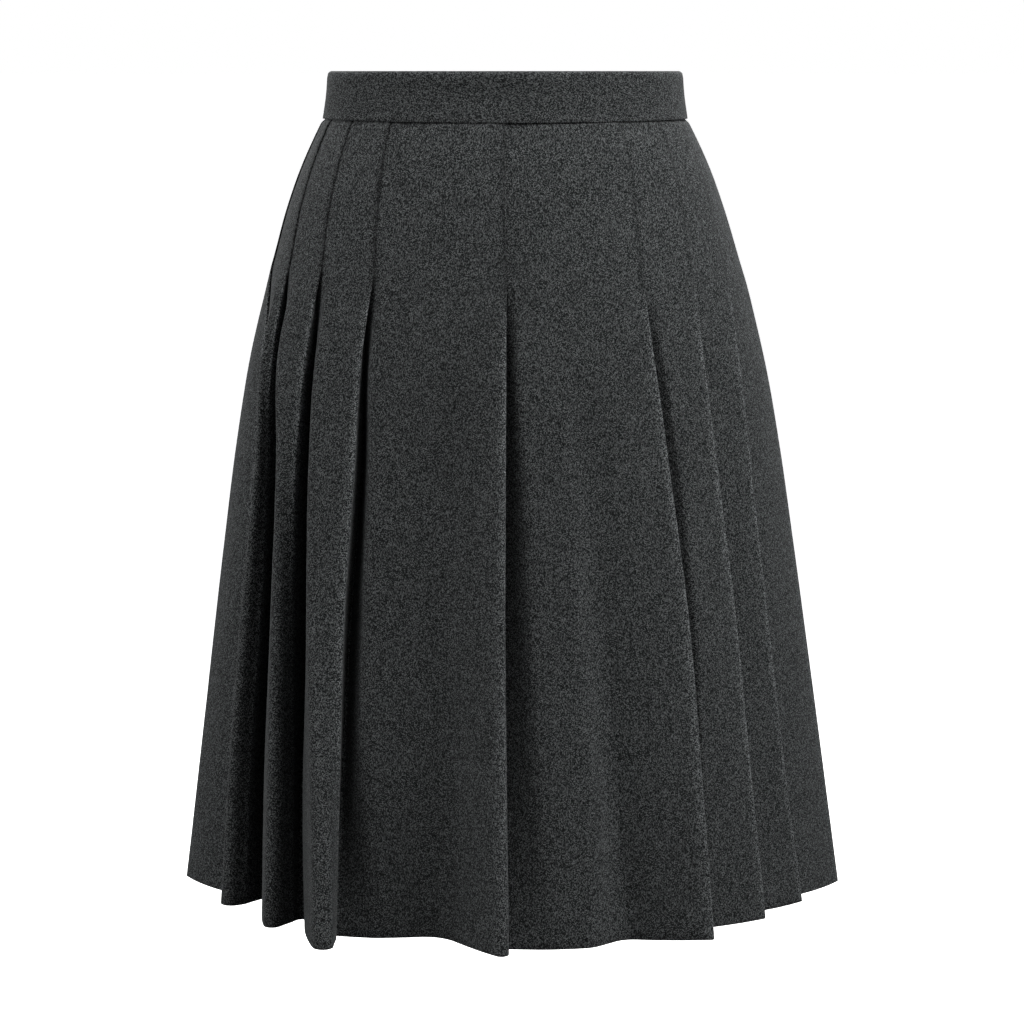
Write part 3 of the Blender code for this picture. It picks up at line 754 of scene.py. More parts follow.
    def cloth_line(self, oval: Oval, first: int, last: int, inset: float) -> ClothLine:
        """Middle line of a panel's cloth at one level, from the seam in one underlay to that in another.

        Args:
            oval: Oval of the level.
            first: Number of the pleat in whose underlay it starts.
            last: Number of the pleat in whose underlay it ends.
            inset: How far the line lies to the wrong side.

        Returns:
            The line.
        """
        line = ClothLine()
        count = len(PLEATS)
        outer, inner = self.folds(PLEATS[first], oval, 0, inset)
        direction = outer.direction_to(inner)
        leave, arrive = outer.touch(direction), inner.touch(direction)
        middle = blend(leave, arrive, 0.5) + 0.5 * self.seam_gap * heading(direction)[0]
        line.add([middle, blend(middle, arrive, 0.5)], [0.0, 0.0])
        for number in range(first + 1, last + 1):
            pleat = PLEATS[number % count]
            turns = number // count
            next_outer, next_inner = self.folds(pleat, oval, turns, inset)
            chain = [inner, *self.bends(pleat, oval, turns, inset), next_outer]
            run, way_out, way_in = self.panel_run(pleat, chain, oval.drop)
            turn = inner.turn(direction, way_out, self.inner_turn_points)
            line.breaks.append(len(line.places) + self.inner_turn_points // 2)
            line.add(turn, [0.0] * len(turn))
            line.middles.append(len(line.places) + len(run) // 2)
            # Painted colour along the fold's edge: painted shade in the stitched part, turning into a painted
            # highlight below it, weaker on rounder folds; the point just before the fold gets a share of it.
            fold_shading = blend(self.stitched_shade, 1.0, ease((oval.drop - pleat.stitch_end) / self.fold_shading_reach))
            fold_shading *= min(1.0, self.fold_shading_radius / next_outer.radius)
            line.add(run, [0.0] * (len(run) - 1) + [self.beside_fold * fold_shading])
            direction = next_outer.direction_to(next_inner)
            turn = next_outer.turn(way_in, direction, self.outer_turn_points)
            line.add(turn, [fold_shading] * len(turn))
            outer, inner = next_outer, next_inner
            leave, arrive = outer.touch(direction), inner.touch(direction)
            shares = [step / (self.underlay_points + 1) for step in range(1, self.underlay_points + 1)]
            if number < last:
                line.add([blend(leave, arrive, share) for share in shares], [0.0] * len(shares))
        middle = blend(leave, arrive, 0.5) - 0.5 * self.seam_gap * heading(direction)[0]
        line.add([blend(leave, middle, 0.5), middle], [0.0, 0.0])
        return line


@dataclass(frozen=True)
class Level:
    """A row of a panel's mesh: its drop in millimetres, its inset and its distance down the cloth."""

    drop: float
    inset: float
    down: float


# ---------------------------------------------------------------------------------------------- finishes


class NodeBench:
    """Lays out the nodes of one material."""

    def __init__(self, name: str) -> None:
        """Starts a material that has only its shader.

        Args:
            name: Name of the material.
        """
        self.material = bpy.data.materials.new(name)
        self.material.use_nodes = True
        self.tree = self.material.node_tree
        self.shader = self.tree.nodes["Principled BSDF"]

    def node(self, kind: str, **settings: object) -> bpy.types.Node:
        """Adds a node.

        Args:
            kind: Its type in Blender, without the prefix.
            **settings: Properties to set on it.

        Returns:
            The node.
        """
        made = self.tree.nodes.new(f"ShaderNode{kind}")
        for name, value in settings.items():
            setattr(made, name, value)
        return made

    def link(self, source: bpy.types.NodeSocket, target: bpy.types.NodeSocket) -> None:
        """Joins two sockets."""
        self.tree.links.new(source, target)

    def sums(self, operation: str, *terms: object) -> bpy.types.NodeSocket:
        """Adds a Math node.

        Args:
            operation: Its operation.
            *terms: Numbers or sockets, in order.

        Returns:
            Its output.
        """
        made = self.node("Math", operation=operation)
        for number, term in enumerate(terms):
            if isinstance(term, (int, float)):
                made.inputs[number].default_value = term
            else:
                self.link(term, made.inputs[number])
        return made.outputs[0]

    def scaled(self, vector: bpy.types.NodeSocket, scale: tuple[float, float, float]) -> bpy.types.NodeSocket:
        """Stretches a pattern's coordinates.

        Args:
            vector: The coordinates.
            scale: Factor on each axis.

        Returns:
            The stretched coordinates.
        """
        made = self.node("Mapping")
        made.inputs["Scale"].default_value = scale
        self.link(vector, made.inputs["Vector"])
        return made.outputs[0]

    def noise(
        self, vector: bpy.types.NodeSocket, scale: float, detail: float, rough: float
    ) -> bpy.types.NodeSocket:
        """Adds a cloudy pattern.

        Args:
            vector: Its coordinates.
            scale: Clouds to the metre, roughly.
            detail: How many finer patterns lie on the first.
            rough: How strong those are.

        Returns:
            Its value.
        """
        made = self.node("TexNoise", noise_dimensions="3D")
        made.inputs["Scale"].default_value = scale
        made.inputs["Detail"].default_value = detail
        made.inputs["Roughness"].default_value = rough
        self.link(vector, made.inputs["Vector"])
        return made.outputs["Fac"]

    def ramp(
        self, value: bpy.types.NodeSocket, stops: list[tuple[float, tuple[float, ...]]]
    ) -> bpy.types.NodeSocket:
        """Turns a value into a colour.

        Args:
            value: The value.
            stops: Places of the ramp, each with its colour.

        Returns:
            The colour.
        """
        made = self.node("ValToRGB")
        elements = made.color_ramp.elements
        while len(elements) < len(stops):
            elements.new(0.5)
        for element, (place, colour) in zip(elements, stops):
            element.position = place
            element.color = colour
        self.link(value, made.inputs["Fac"])
        return made.outputs["Color"]


@dataclass(frozen=True)
class SuitingFinish:
    """Heather wool suiting: light and dark yarns in a close twill, softly napped, with painted highlight and
    painted shade along the pleats' fold edges.

    Each of yarns is a layer of flecks: their width and length in millimetres, and the layer's share. turned
    says that the warp runs along the piece, as on the band.
    """

    name: str
    dark: tuple[float, float, float, float] = (0.0006, 0.0007, 0.0008, 1.0)
    middle: tuple[float, float, float, float] = (0.0175, 0.0190, 0.0196, 1.0)
    light: tuple[float, float, float, float] = (0.142, 0.150, 0.152, 1.0)
    yarns: tuple[tuple[float, float, float], ...] = ((0.58, 0.72, 0.6), (0.36, 0.46, 0.4))
    ramp_places: tuple[float, float, float] = (0.2, 0.5, 0.86)
    cloud_scale: float = 28.0
    cloud_stretch: tuple[float, float, float] = (1.0, 0.35, 1.0)
    cloud_weight: float = 0.06
    # How strongly the painted highlight and painted shade along fold edges change the colour.
    fold_shading_gain: float = 0.9
    rib_scale: float = 420.0
    rib_weight: float = 0.3
    relief_strength: float = 0.35
    relief_height: float = 0.12 * MM
    roughness: float = 0.9
    specular: float = 0.2
    sheen: float = 0.08
    sheen_roughness: float = 0.45
    sheen_tint: tuple[float, float, float, float] = (0.62, 0.64, 0.65, 1.0)
    turned: bool = False

    def material(self) -> bpy.types.Material:
        """Builds the material on the piece's own cloth coordinates.

        Returns:
            The material.
        """
        bench = NodeBench(self.name)
        place = bench.node("UVMap", uv_map=CLOTH_UV).outputs["UV"]
        if self.turned:
            turn = bench.node("Mapping")
            turn.inputs["Rotation"].default_value = (0.0, 0.0, 0.5 * math.pi)
            bench.link(place, turn.inputs["Vector"])
            place = turn.outputs[0]
        mixed = 0.0
        for width, length, share in self.yarns:
            snapped = bench.node("VectorMath", operation="SNAP")
            snapped.inputs[1].default_value = (width * MM, length * MM, 1.0)
            bench.link(place, snapped.inputs[0])
            yarn = bench.node("TexWhiteNoise", noise_dimensions="2D")
            bench.link(snapped.outputs[0], yarn.inputs["Vector"])
            mixed = bench.sums("MULTIPLY_ADD", yarn.outputs["Value"], share, mixed)
        clouds = bench.noise(bench.scaled(place, self.cloud_stretch), self.cloud_scale, 3.0, 0.6)
        drift = bench.sums("MULTIPLY_ADD", clouds, self.cloud_weight, -0.5 * self.cloud_weight)
        shifted = bench.sums("ADD", mixed, drift)
        heather = bench.ramp(shifted, list(zip(self.ramp_places, (self.dark, self.middle, self.light))))
        # Painted highlight and painted shade: the colour is lightened along open fold edges and darkened
        # along stitched ones.
        edge = bench.node("Attribute", attribute_name=FOLD_SHADING)
        gain = bench.sums("MULTIPLY_ADD", edge.outputs["Fac"], self.fold_shading_gain, 1.0)
        wear_and_fold_shading = bench.node("VectorMath", operation="SCALE")
        bench.link(heather, wear_and_fold_shading.inputs[0])
        bench.link(gain, wear_and_fold_shading.inputs["Scale"])
        bench.link(wear_and_fold_shading.outputs[0], bench.shader.inputs["Base Color"])
        ribs = bench.node("TexWave", wave_type="BANDS", bands_direction="DIAGONAL")
        ribs.inputs["Scale"].default_value = self.rib_scale
        bench.link(place, ribs.inputs["Vector"])
        relief = bench.sums("MULTIPLY_ADD", ribs.outputs["Fac"], self.rib_weight, shifted)
        raised = bench.node("Bump")
        raised.inputs["Strength"].default_value = self.relief_strength
        raised.inputs["Distance"].default_value = self.relief_height
        bench.link(relief, raised.inputs["Height"])
        bench.link(raised.outputs["Normal"], bench.shader.inputs["Normal"])
        bench.shader.inputs["Roughness"].default_value = self.roughness
        bench.shader.inputs["Specular IOR Level"].default_value = self.specular
        bench.shader.inputs["Sheen Weight"].default_value = self.sheen
        bench.shader.inputs["Sheen Roughness"].default_value = self.sheen_roughness
        bench.shader.inputs["Sheen Tint"].default_value = self.sheen_tint
        return bench.material


@dataclass(frozen=True)
class ResinFinish:
    """Black resin of the button, with faint clouds in it."""

    name: str = "black_resin"
    dark: tuple[float, float, float, float] = (0.006, 0.006, 0.0065, 1.0)
    light: tuple[float, float, float, float] = (0.02, 0.019, 0.019, 1.0)
    roughness: float = 0.32
    wear: float = 0.16

    def material(self) -> bpy.types.Material:
        """Builds the material on object coordinates.

        Returns:
            The material.
        """
        bench = NodeBench(self.name)
        place = bench.node("TexCoord").outputs["Object"]
        clouds = bench.noise(bench.scaled(place, (1.0, 1.0, 2.2)), 240.0, 4.0, 0.6)
        colour = bench.ramp(clouds, [(0.35, self.dark), (0.7, self.light)])
        bench.link(colour, bench.shader.inputs["Base Color"])
        fine = bench.noise(place, 900.0, 2.0, 0.5)
        wear_and_fold_shading = bench.sums("MULTIPLY_ADD", fine, self.wear, self.roughness - 0.5 * self.wear)
        bench.link(wear_and_fold_shading, bench.shader.inputs["Roughness"])
        bench.shader.inputs["Coat Weight"].default_value = 0.25
        bench.shader.inputs["Coat Roughness"].default_value = 0.18
        return bench.material


@dataclass(frozen=True)
class ThreadFinish:
    """Twisted sewing thread, a shade darker than the cloth."""

    name: str = "sewing_thread"
    dark: tuple[float, float, float, float] = (0.008, 0.008, 0.009, 1.0)
    light: tuple[float, float, float, float] = (0.04, 0.041, 0.042, 1.0)

    def material(self) -> bpy.types.Material:
        """Builds the material on object coordinates.

        Returns:
            The material.
        """
        bench = NodeBench(self.name)
        place = bench.node("TexCoord").outputs["Object"]
        twist = bench.node("TexWave", wave_type="BANDS", bands_direction="DIAGONAL")
        twist.inputs["Scale"].default_value = 900.0
        twist.inputs["Distortion"].default_value = 1.5
        bench.link(place, twist.inputs["Vector"])
        colour = bench.ramp(twist.outputs["Fac"], [(0.2, self.dark), (0.9, self.light)])
        bench.link(colour, bench.shader.inputs["Base Color"])
        bench.shader.inputs["Roughness"].default_value = 0.55
        bench.shader.inputs["Sheen Weight"].default_value = 0.3
        return bench.material


@dataclass(frozen=True)
class FloorFinish:
    """Plain pale studio floor, which glows a little so that it looks as white as the surround."""

    name: str = "pale_floor"
    colour: tuple[float, float, float, float] = (0.9, 0.9, 0.9, 1.0)
    glow: float = 1.1

    def material(self) -> bpy.types.Material:
        """Builds the material with the faintest cloud in it.

        Returns:
            The material.
        """
        bench = NodeBench(self.name)
        place = bench.node("TexCoord").outputs["Object"]
        clouds = bench.noise(place, 0.8, 2.0, 0.5)
        near = tuple(0.985 * channel for channel in self.colour[:3]) + (1.0,)
        bench.link(bench.ramp(clouds, [(0.3, near), (0.7, self.colour)]), bench.shader.inputs["Base Color"])
        bench.shader.inputs["Roughness"].default_value = 0.85
        bench.shader.inputs["Emission Color"].default_value = self.colour
        bench.shader.inputs["Emission Strength"].default_value = self.glow
        return bench.material


# ---------------------------------------------------------------------------------------------- pieces


def deselect_all() -> None:
    """Leaves nothing selected."""
    for item in bpy.context.selected_objects:
        item.select_set(False)


def make_grid(name: str, rows: list[np.ndarray], closed_across: bool) -> bpy.types.Object:
    """Surface through rows of points.

    Args:
        name: Name of the piece.
        rows: Rows of points, each running the same way.
        closed_across: Whether each row is a closed loop.

    Returns:
        The piece, linked to the scene.
    """
    width = len(rows[0])
    faces = []
    for level in range(len(rows) - 1):
        for column in range(width if closed_across else width - 1):
            corner = level * width + column
            beside = level * width + (column + 1) % width
            faces.append((corner, corner + width, beside + width, beside))
    mesh = bpy.data.meshes.new(name)
    mesh.from_pydata([tuple(point) for row in rows for point in row], [], faces)
    mesh.update()
    piece = bpy.data.objects.new(name, mesh)
    bpy.context.scene.collection.objects.link(piece)
    return piece


def apply_modifiers(piece: bpy.types.Object) -> None:
    """Applies a piece's modifiers in order.

    Args:
        piece: The piece.
    """
    deselect_all()
    piece.select_set(True)
    bpy.context.view_layer.objects.active = piece
    for modifier in list(piece.modifiers):
        bpy.ops.object.modifier_apply(modifier=modifier.name)


def smooth_by_angle(piece: bpy.types.Object, degrees: float) -> None:
    """Shades a piece smooth, and leaves its sharper edges sharp.

    Args:
        piece: The piece.
        degrees: Angle from which an edge stays crisp.
    """
    deselect_all()
    piece.select_set(True)
    bpy.context.view_layer.objects.active = piece
    bpy.ops.object.shade_smooth_by_angle(angle=math.radians(degrees))


def joined(parts: list[bpy.types.Object], name: str) -> bpy.types.Object:
    """Joins parts of one piece.

    Args:
        parts: The parts, whose first one takes in the others.
        name: Name of the piece.

    Returns:
        The piece, smooth but for its sharp edges.
    """
    deselect_all()
    for part in parts:
        part.select_set(True)
    bpy.context.view_layer.objects.active = parts[0]
    bpy.ops.object.join()
    piece = bpy.context.active_object
    piece.name = name
    smooth_by_angle(piece, 60.0)
    return piece


@dataclass
class PleatedPanel:
    """One cut panel of the skirt, from side seam to side seam or to the centre back seam.

    It starts in the underlay of the pleat numbered first and ends in that of the one numbered last. stretches
    gives the rows of its mesh: top and bottom drop, and how many rows from one to the other.
    """

    name: str
    node: str
    first: int
    last: int
    flat: tuple[float, float]
    flat_area: float
    hem_turn_up: float = 34.0
    hem_turn_radius: float = 0.45
    hem_turn_length: float = 1.5
    hem_turn_steps: int = 4
    hem_inside_rows: int = 5
    stretches: tuple[tuple[float, float, int], ...] = (
        (35.0, 40.0, 5), (40.0, 136.0, 15), (136.0, 184.0, 19), (184.0, STAGES[-1], 64),
    )
    panel_offset: float = 0.61

    def levels(self, form: SkirtForm) -> list[Level]:
        """Rows of the mesh from under the band, down to the hem and up its turned-in edge.

        Args:
            form: Form of the pleated cloth.

        Returns:
            The rows, in the order of the cloth.
        """
        found = []
        for top, bottom, count in self.stretches:
            drops = np.linspace(top, bottom, count, endpoint=False)
            found += [Level(drop, 0.0, drop * MM) for drop in drops]
        bottom = form.hem - self.hem_turn_radius
        radius = self.hem_turn_radius
        for step in range(self.hem_turn_steps + 1):
            angle = math.pi * step / self.hem_turn_steps
            down = (bottom + radius * angle) * MM
            inset = radius * (1.0 - math.cos(angle)) * MM
            found.append(Level(bottom + radius * math.sin(angle), inset, down))
        for step in range(1, self.hem_inside_rows + 1):
            rise = self.hem_turn_up * step / self.hem_inside_rows
            down = (bottom + self.hem_turn_length + rise) * MM
            found.append(Level(bottom - rise, 2.0 * radius * MM, down))
        return found

    def build(self, form: SkirtForm, material: bpy.types.Material) -> bpy.types.Object:
        """Makes the panel.

        Args:
            form: Form of the pleated cloth.
            material: The suiting.

        Returns:
            The finished piece.
        """
        levels = self.levels(form)
        lines = []
        rows = []
        for level in levels:
            oval = form.stack.oval(level.drop)
            line = form.cloth_line(oval, self.first, self.last, level.inset)
            lines.append(line)
            rows.append(oval.points(np.array(line.places)))
        panel = make_grid(self.name, rows, closed_across=False)
        self.lay_out_cloth(panel, levels, lines, rows)
        wall = panel.modifiers.new("cloth", "SOLIDIFY")
        wall.thickness = form.cloth_thickness
        wall.offset = 0.0
        wall.use_even_offset = True
        wall.use_quality_normals = True
        apply_modifiers(panel)
        smooth_by_angle(panel, 50.0)
        panel.data.materials.append(material)
        self.declare(panel)
        return panel

    def lay_out_cloth(
        self, panel: bpy.types.Object, levels: list[Level], lines: list[ClothLine], rows: list[np.ndarray]
    ) -> None:
        """Gives each face its place on the cloth, straight down the middle of each panel.

        Args:
            panel: The open surface.
            levels: Its rows.
            lines: The cloth's line at each row.
            rows: The points of each row.
        """
        width = len(rows[0])
        breaks = lines[0].breaks
        owner = np.searchsorted(np.array(breaks), np.arange(width - 1), side="right")
        owner = np.clip(owner - 1, 0, len(breaks) - 1)
        across = []
        for line, row in zip(lines, rows):
            steps = np.linalg.norm(np.diff(row, axis=0), axis=1)
            run = np.concatenate(([0.0], np.cumsum(steps)))
            starts = [self.panel_offset * (self.first + number) for number in range(len(line.middles))]
            across.append([run - run[middle] + start for middle, start in zip(line.middles, starts)])
        across = np.array(across)
        layer = panel.data.uv_layers.new(name=CLOTH_UV)
        places = np.empty((len(panel.data.loops), 2))
        for polygon in panel.data.polygons:
            level, column = divmod(polygon.index, width - 1)
            part = owner[column]
            corners = ((level, column), (level + 1, column), (level + 1, column + 1), (level, column + 1))
            for loop, (row, place) in zip(polygon.loop_indices, corners):
                places[loop] = (across[row, part, place], -levels[row].down)
        layer.data.foreach_set("uv", places.ravel())
        # Store the painted highlight and painted shade along the folds' edges for the suiting to read.
        painted_fold_shading = panel.data.attributes.new(FOLD_SHADING, "FLOAT", "POINT")
        painted_fold_shading.data.foreach_set("value", [value for line in lines for value in line.painted_fold_shading])

    def declare(self, panel: bpy.types.Object) -> None:
        """Attaches the panel to the body that it rides on, and hides the part that it stands for.

        Args:
            panel: The panel's piece.
        """
        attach(panel, BODY)
        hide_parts(self.node)


@dataclass
class Waistband:
    """Straight waistband: one strip folded double, its ends lapped at the centre back.

    Its length runs from the under end of the lap, round the waist, to the outer end. Over the lap the outer
    end lies past the under one, and jog is the length over which the strip steps inward to make room for it.
    """

    height: float = 36.6
    thickness: float = 2.5
    lap: float = 22.0
    jog: float = 18.0
    stations: int = 360
    top_round_outer: float = 2.1
    top_round_inner: float = 0.7
    foot_round: float = 0.4
    edge_round: float = 0.3
    crown: float = 0.25
    crown_place: float = 0.52
    crown_reach: float = 0.55
    lip: float = 1.0
    lip_height: float = 1.5
    lip_round: tuple[float, float] = (0.2, 0.25)
    lip_edge: tuple[float, float] = (0.1, 0.28)
    under_gap: float = 0.75
    side_lift: float = 1.8
    side_reach: float = 0.135
    top_lean: float = 1.3
    top_lean_height: float = 5.0
    end_squeeze: float = 0.55
    end_reach: float = 0.9
    cloth_offset: float = 7.0
    flat: tuple[float, float] = (0.76, 0.038)
    stack: OvalStack = field(default_factory=lambda: OvalStack(BAND_SECTIONS))

    def profile(self) -> list[tuple[float, float]]:
        """Outline of the strip's cut end, from the outer face's bottom edge upward.

        Returns:
            Drops and depths, in millimetres. Depth grows from the outer face inward.
        """
        foot = self.height
        edge = self.foot_round
        outer = self.top_round_outer
        inner = self.thickness
        small = min(self.top_round_inner, inner - outer + self.edge_round)
        bottom = foot - self.lip_height
        points = []
        for step in range(4):
            angle = 0.5 * math.pi * step / 3
            points.append((foot - edge + edge * math.cos(angle), edge - edge * math.sin(angle)))
        for step in range(1, 11):
            drop = blend(foot - edge, outer, step / 11)
            points.append((drop, -self.crown * bump(drop, self.crown_place * foot, self.crown_reach * foot)))
        for step in range(6):
            angle = 0.5 * math.pi * step / 6
            points.append((outer - outer * math.sin(angle), outer - outer * math.cos(angle)))
        points.append((0.0, inner - small))
        for step in range(1, 4):
            angle = 0.5 * math.pi * step / 3
            points.append((small - small * math.cos(angle), inner - small + small * math.sin(angle)))
        for step in range(1, 6):
            points.append((blend(small, bottom - self.edge_round, step / 5), inner))
        points.append((bottom, inner - self.edge_round))
        points.append((bottom, self.lip + self.lip_round[1]))
        points.append((bottom + self.lip_round[0], self.lip))
        points.append((foot - edge, self.lip))
        points.append((foot - self.lip_edge[0], self.lip - self.lip_edge[1]))
        return points

    def outer_depth(self, past: float) -> float:
        """Depth of the outer face, in millimetres, at a distance past the start of the under end."""
        under = self.thickness + self.under_gap
        return under * (1.0 - ease((past - self.lap) / self.jog))

    def ripple(self, past: float, drop: float) -> float:
        """Slight unevenness of the ironed strip, in millimetres."""
        slow = 0.14 * math.sin(past * 0.041 + 0.7) + 0.08 * math.sin(past * 0.113 + 2.1)
        return slow * (0.35 + 0.65 * drop / self.height)

    def lean(self, drop: float) -> float:
        """How far the strip leans inward at a drop, in millimetres: its top edge rolls in a little."""
        return self.top_lean * max(0.0, 1.0 - drop / self.top_lean_height) ** 2

    def lifted(self, points: np.ndarray, drop: float) -> np.ndarray:
        """Raises points towards the sides, where the strip's lower edge sits a little higher.

        Args:
            points: Points of one drop.
            drop: That drop in millimetres.

        Returns:
            The raised points.
        """
        raised = points.copy()
        raised[:, 2] += self.side_lift * MM * (points[:, 0] / self.side_reach) ** 2 * drop / self.height
        return raised

    def place(self, share: float, drop: float, depth: float) -> np.ndarray:
        """Point on the strip.

        Args:
            share: Share of the strip's length from its under end.
            drop: Drop below the top edge in millimetres.
            depth: Depth behind the outer face in millimetres.

        Returns:
            The point.
        """
        oval = self.stack.oval(drop)
        start, total = self.run(oval)
        past = share * total
        lies = self.outer_depth(past / MM) + depth + self.ripple(past / MM, drop)
        return oval.points(np.array([[start + past, lies * MM]]))[0]

    def run(self, oval: Oval) -> tuple[float, float]:
        """Where the strip starts along an oval, and its whole length with the lap.

        Args:
            oval: One of the band's ovals.

        Returns:
            The start and the length, in metres.
        """
        start = oval.distance(-180.0)
        return start, oval.distance(180.0) - start + self.lap * MM

    def seat(self, share: float, drop: float, stand_out: float) -> Matrix:
        """Seat on the outer face for something that is sewn on.

        Args:
            share: Share of the strip's length from its under end.
            drop: Drop below the top edge in millimetres.
            stand_out: How far off the face it lies, in millimetres.

        Returns:
            Its matrix: y points up and z out of the band.
        """
        here = Vector(self.place(share, drop, -stand_out))
        outward = (here - Vector(self.place(share, drop, 1.0))).normalized()
        up = Vector((0.0, 0.0, 1.0))
        up = (up - outward * up.dot(outward)).normalized()
        turn = Matrix((up.cross(outward).normalized(), up, outward)).transposed().to_4x4()
        return Matrix.Translation(here) @ turn

    def build(self, material: bpy.types.Material) -> bpy.types.Object:
        """Makes the strip.

        Args:
            material: The suiting of the band.

        Returns:
            The finished piece.
        """
        profile = self.profile()
        ovals = [self.stack.oval(drop) for drop, _ in profile]
        runs = [self.run(oval) for oval in ovals]
        shares = self.station_shares()
        middle = 0.5 * self.thickness
        columns = []
        for oval, (start, length), (drop, depth) in zip(ovals, runs, profile):
            places = []
            for share in shares:
                past = share * length
                ends = min(share, 1.0 - share) * length / MM
                close = 1.0 - self.end_squeeze * (1.0 - ease(ends / self.end_reach))
                lies = self.outer_depth(past / MM) + middle + (depth - middle) * close
                lies += self.lean(drop)
                places.append((start + past, (lies + self.ripple(past / MM, drop)) * MM))
            columns.append(self.lifted(oval.points(np.array(places)), drop))
        rows = [np.array([column[number] for column in columns]) for number in range(len(shares))]
        strip = make_grid("waistband_strip", rows, closed_across=True)
        self.close_ends(strip, len(profile), len(shares))
        self.lay_out_cloth(strip, profile, shares, float(np.mean([length for _, length in runs])))
        smooth_by_angle(strip, 60.0)
        strip.data.materials.append(material)
        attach(strip, BODY)
        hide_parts("waistband")
        return strip

    def station_shares(self) -> list[float]:
        """Shares of the strip's length at which it has a row, closer together at both ends.

        Returns:
            The shares, rising from 0 to 1.
        """
        ends = [0.0, 0.0004, 0.0009, 0.0014]
        inner = list(np.linspace(0.003, 0.997, self.stations))
        return ends + inner + [1.0 - share for share in reversed(ends)]

    def close_ends(self, strip: bpy.types.Object, width: int, count: int) -> None:
        """Caps both ends of the strip.

        Args:
            strip: The open tube.
            width: Points in each row.
            count: Number of rows.
        """
        mesh = strip.data
        points = [vertex.co.copy() for vertex in mesh.vertices]
        faces = [tuple(polygon.vertices) for polygon in mesh.polygons]
        last = (count - 1) * width
        faces.append(tuple(range(width)))
        faces.append(tuple(last + number for number in reversed(range(width))))
        mesh.clear_geometry()
        mesh.from_pydata(points, [], faces)
        mesh.update()

    def lay_out_cloth(
        self,
        strip: bpy.types.Object,
        profile: list[tuple[float, float]],
        shares: list[float],
        length: float,
    ) -> None:
        """Gives each face its place on the cloth, measured along the strip and round it.

        Args:
            strip: The closed strip.
            profile: Its cut end.
            shares: Its rows.
            length: Its length.
        """
        width = len(profile)
        round_it = [0.0]
        for before, after in zip(profile, profile[1:] + profile[:1]):
            round_it.append(round_it[-1] + math.dist(before, after) * MM)
        layer = strip.data.uv_layers.new(name=CLOTH_UV)
        for polygon in strip.data.polygons:
            row, column = divmod(polygon.index, width)
            if polygon.index >= width * (len(shares) - 1):
                for loop in polygon.loop_indices:
                    layer.data[loop].uv = (0.0, round_it[strip.data.loops[loop].vertex_index % width])
                continue
            corners = ((row, column), (row + 1, column), (row + 1, column + 1), (row, column + 1))
            for loop, (station, point) in zip(polygon.loop_indices, corners):
                layer.data[loop].uv = (self.cloth_offset + shares[station] * length, round_it[point])
        # The band has no painted fold highlight or shade: its attribute stays at 0.
        strip.data.attributes.new(FOLD_SHADING, "FLOAT", "POINT")


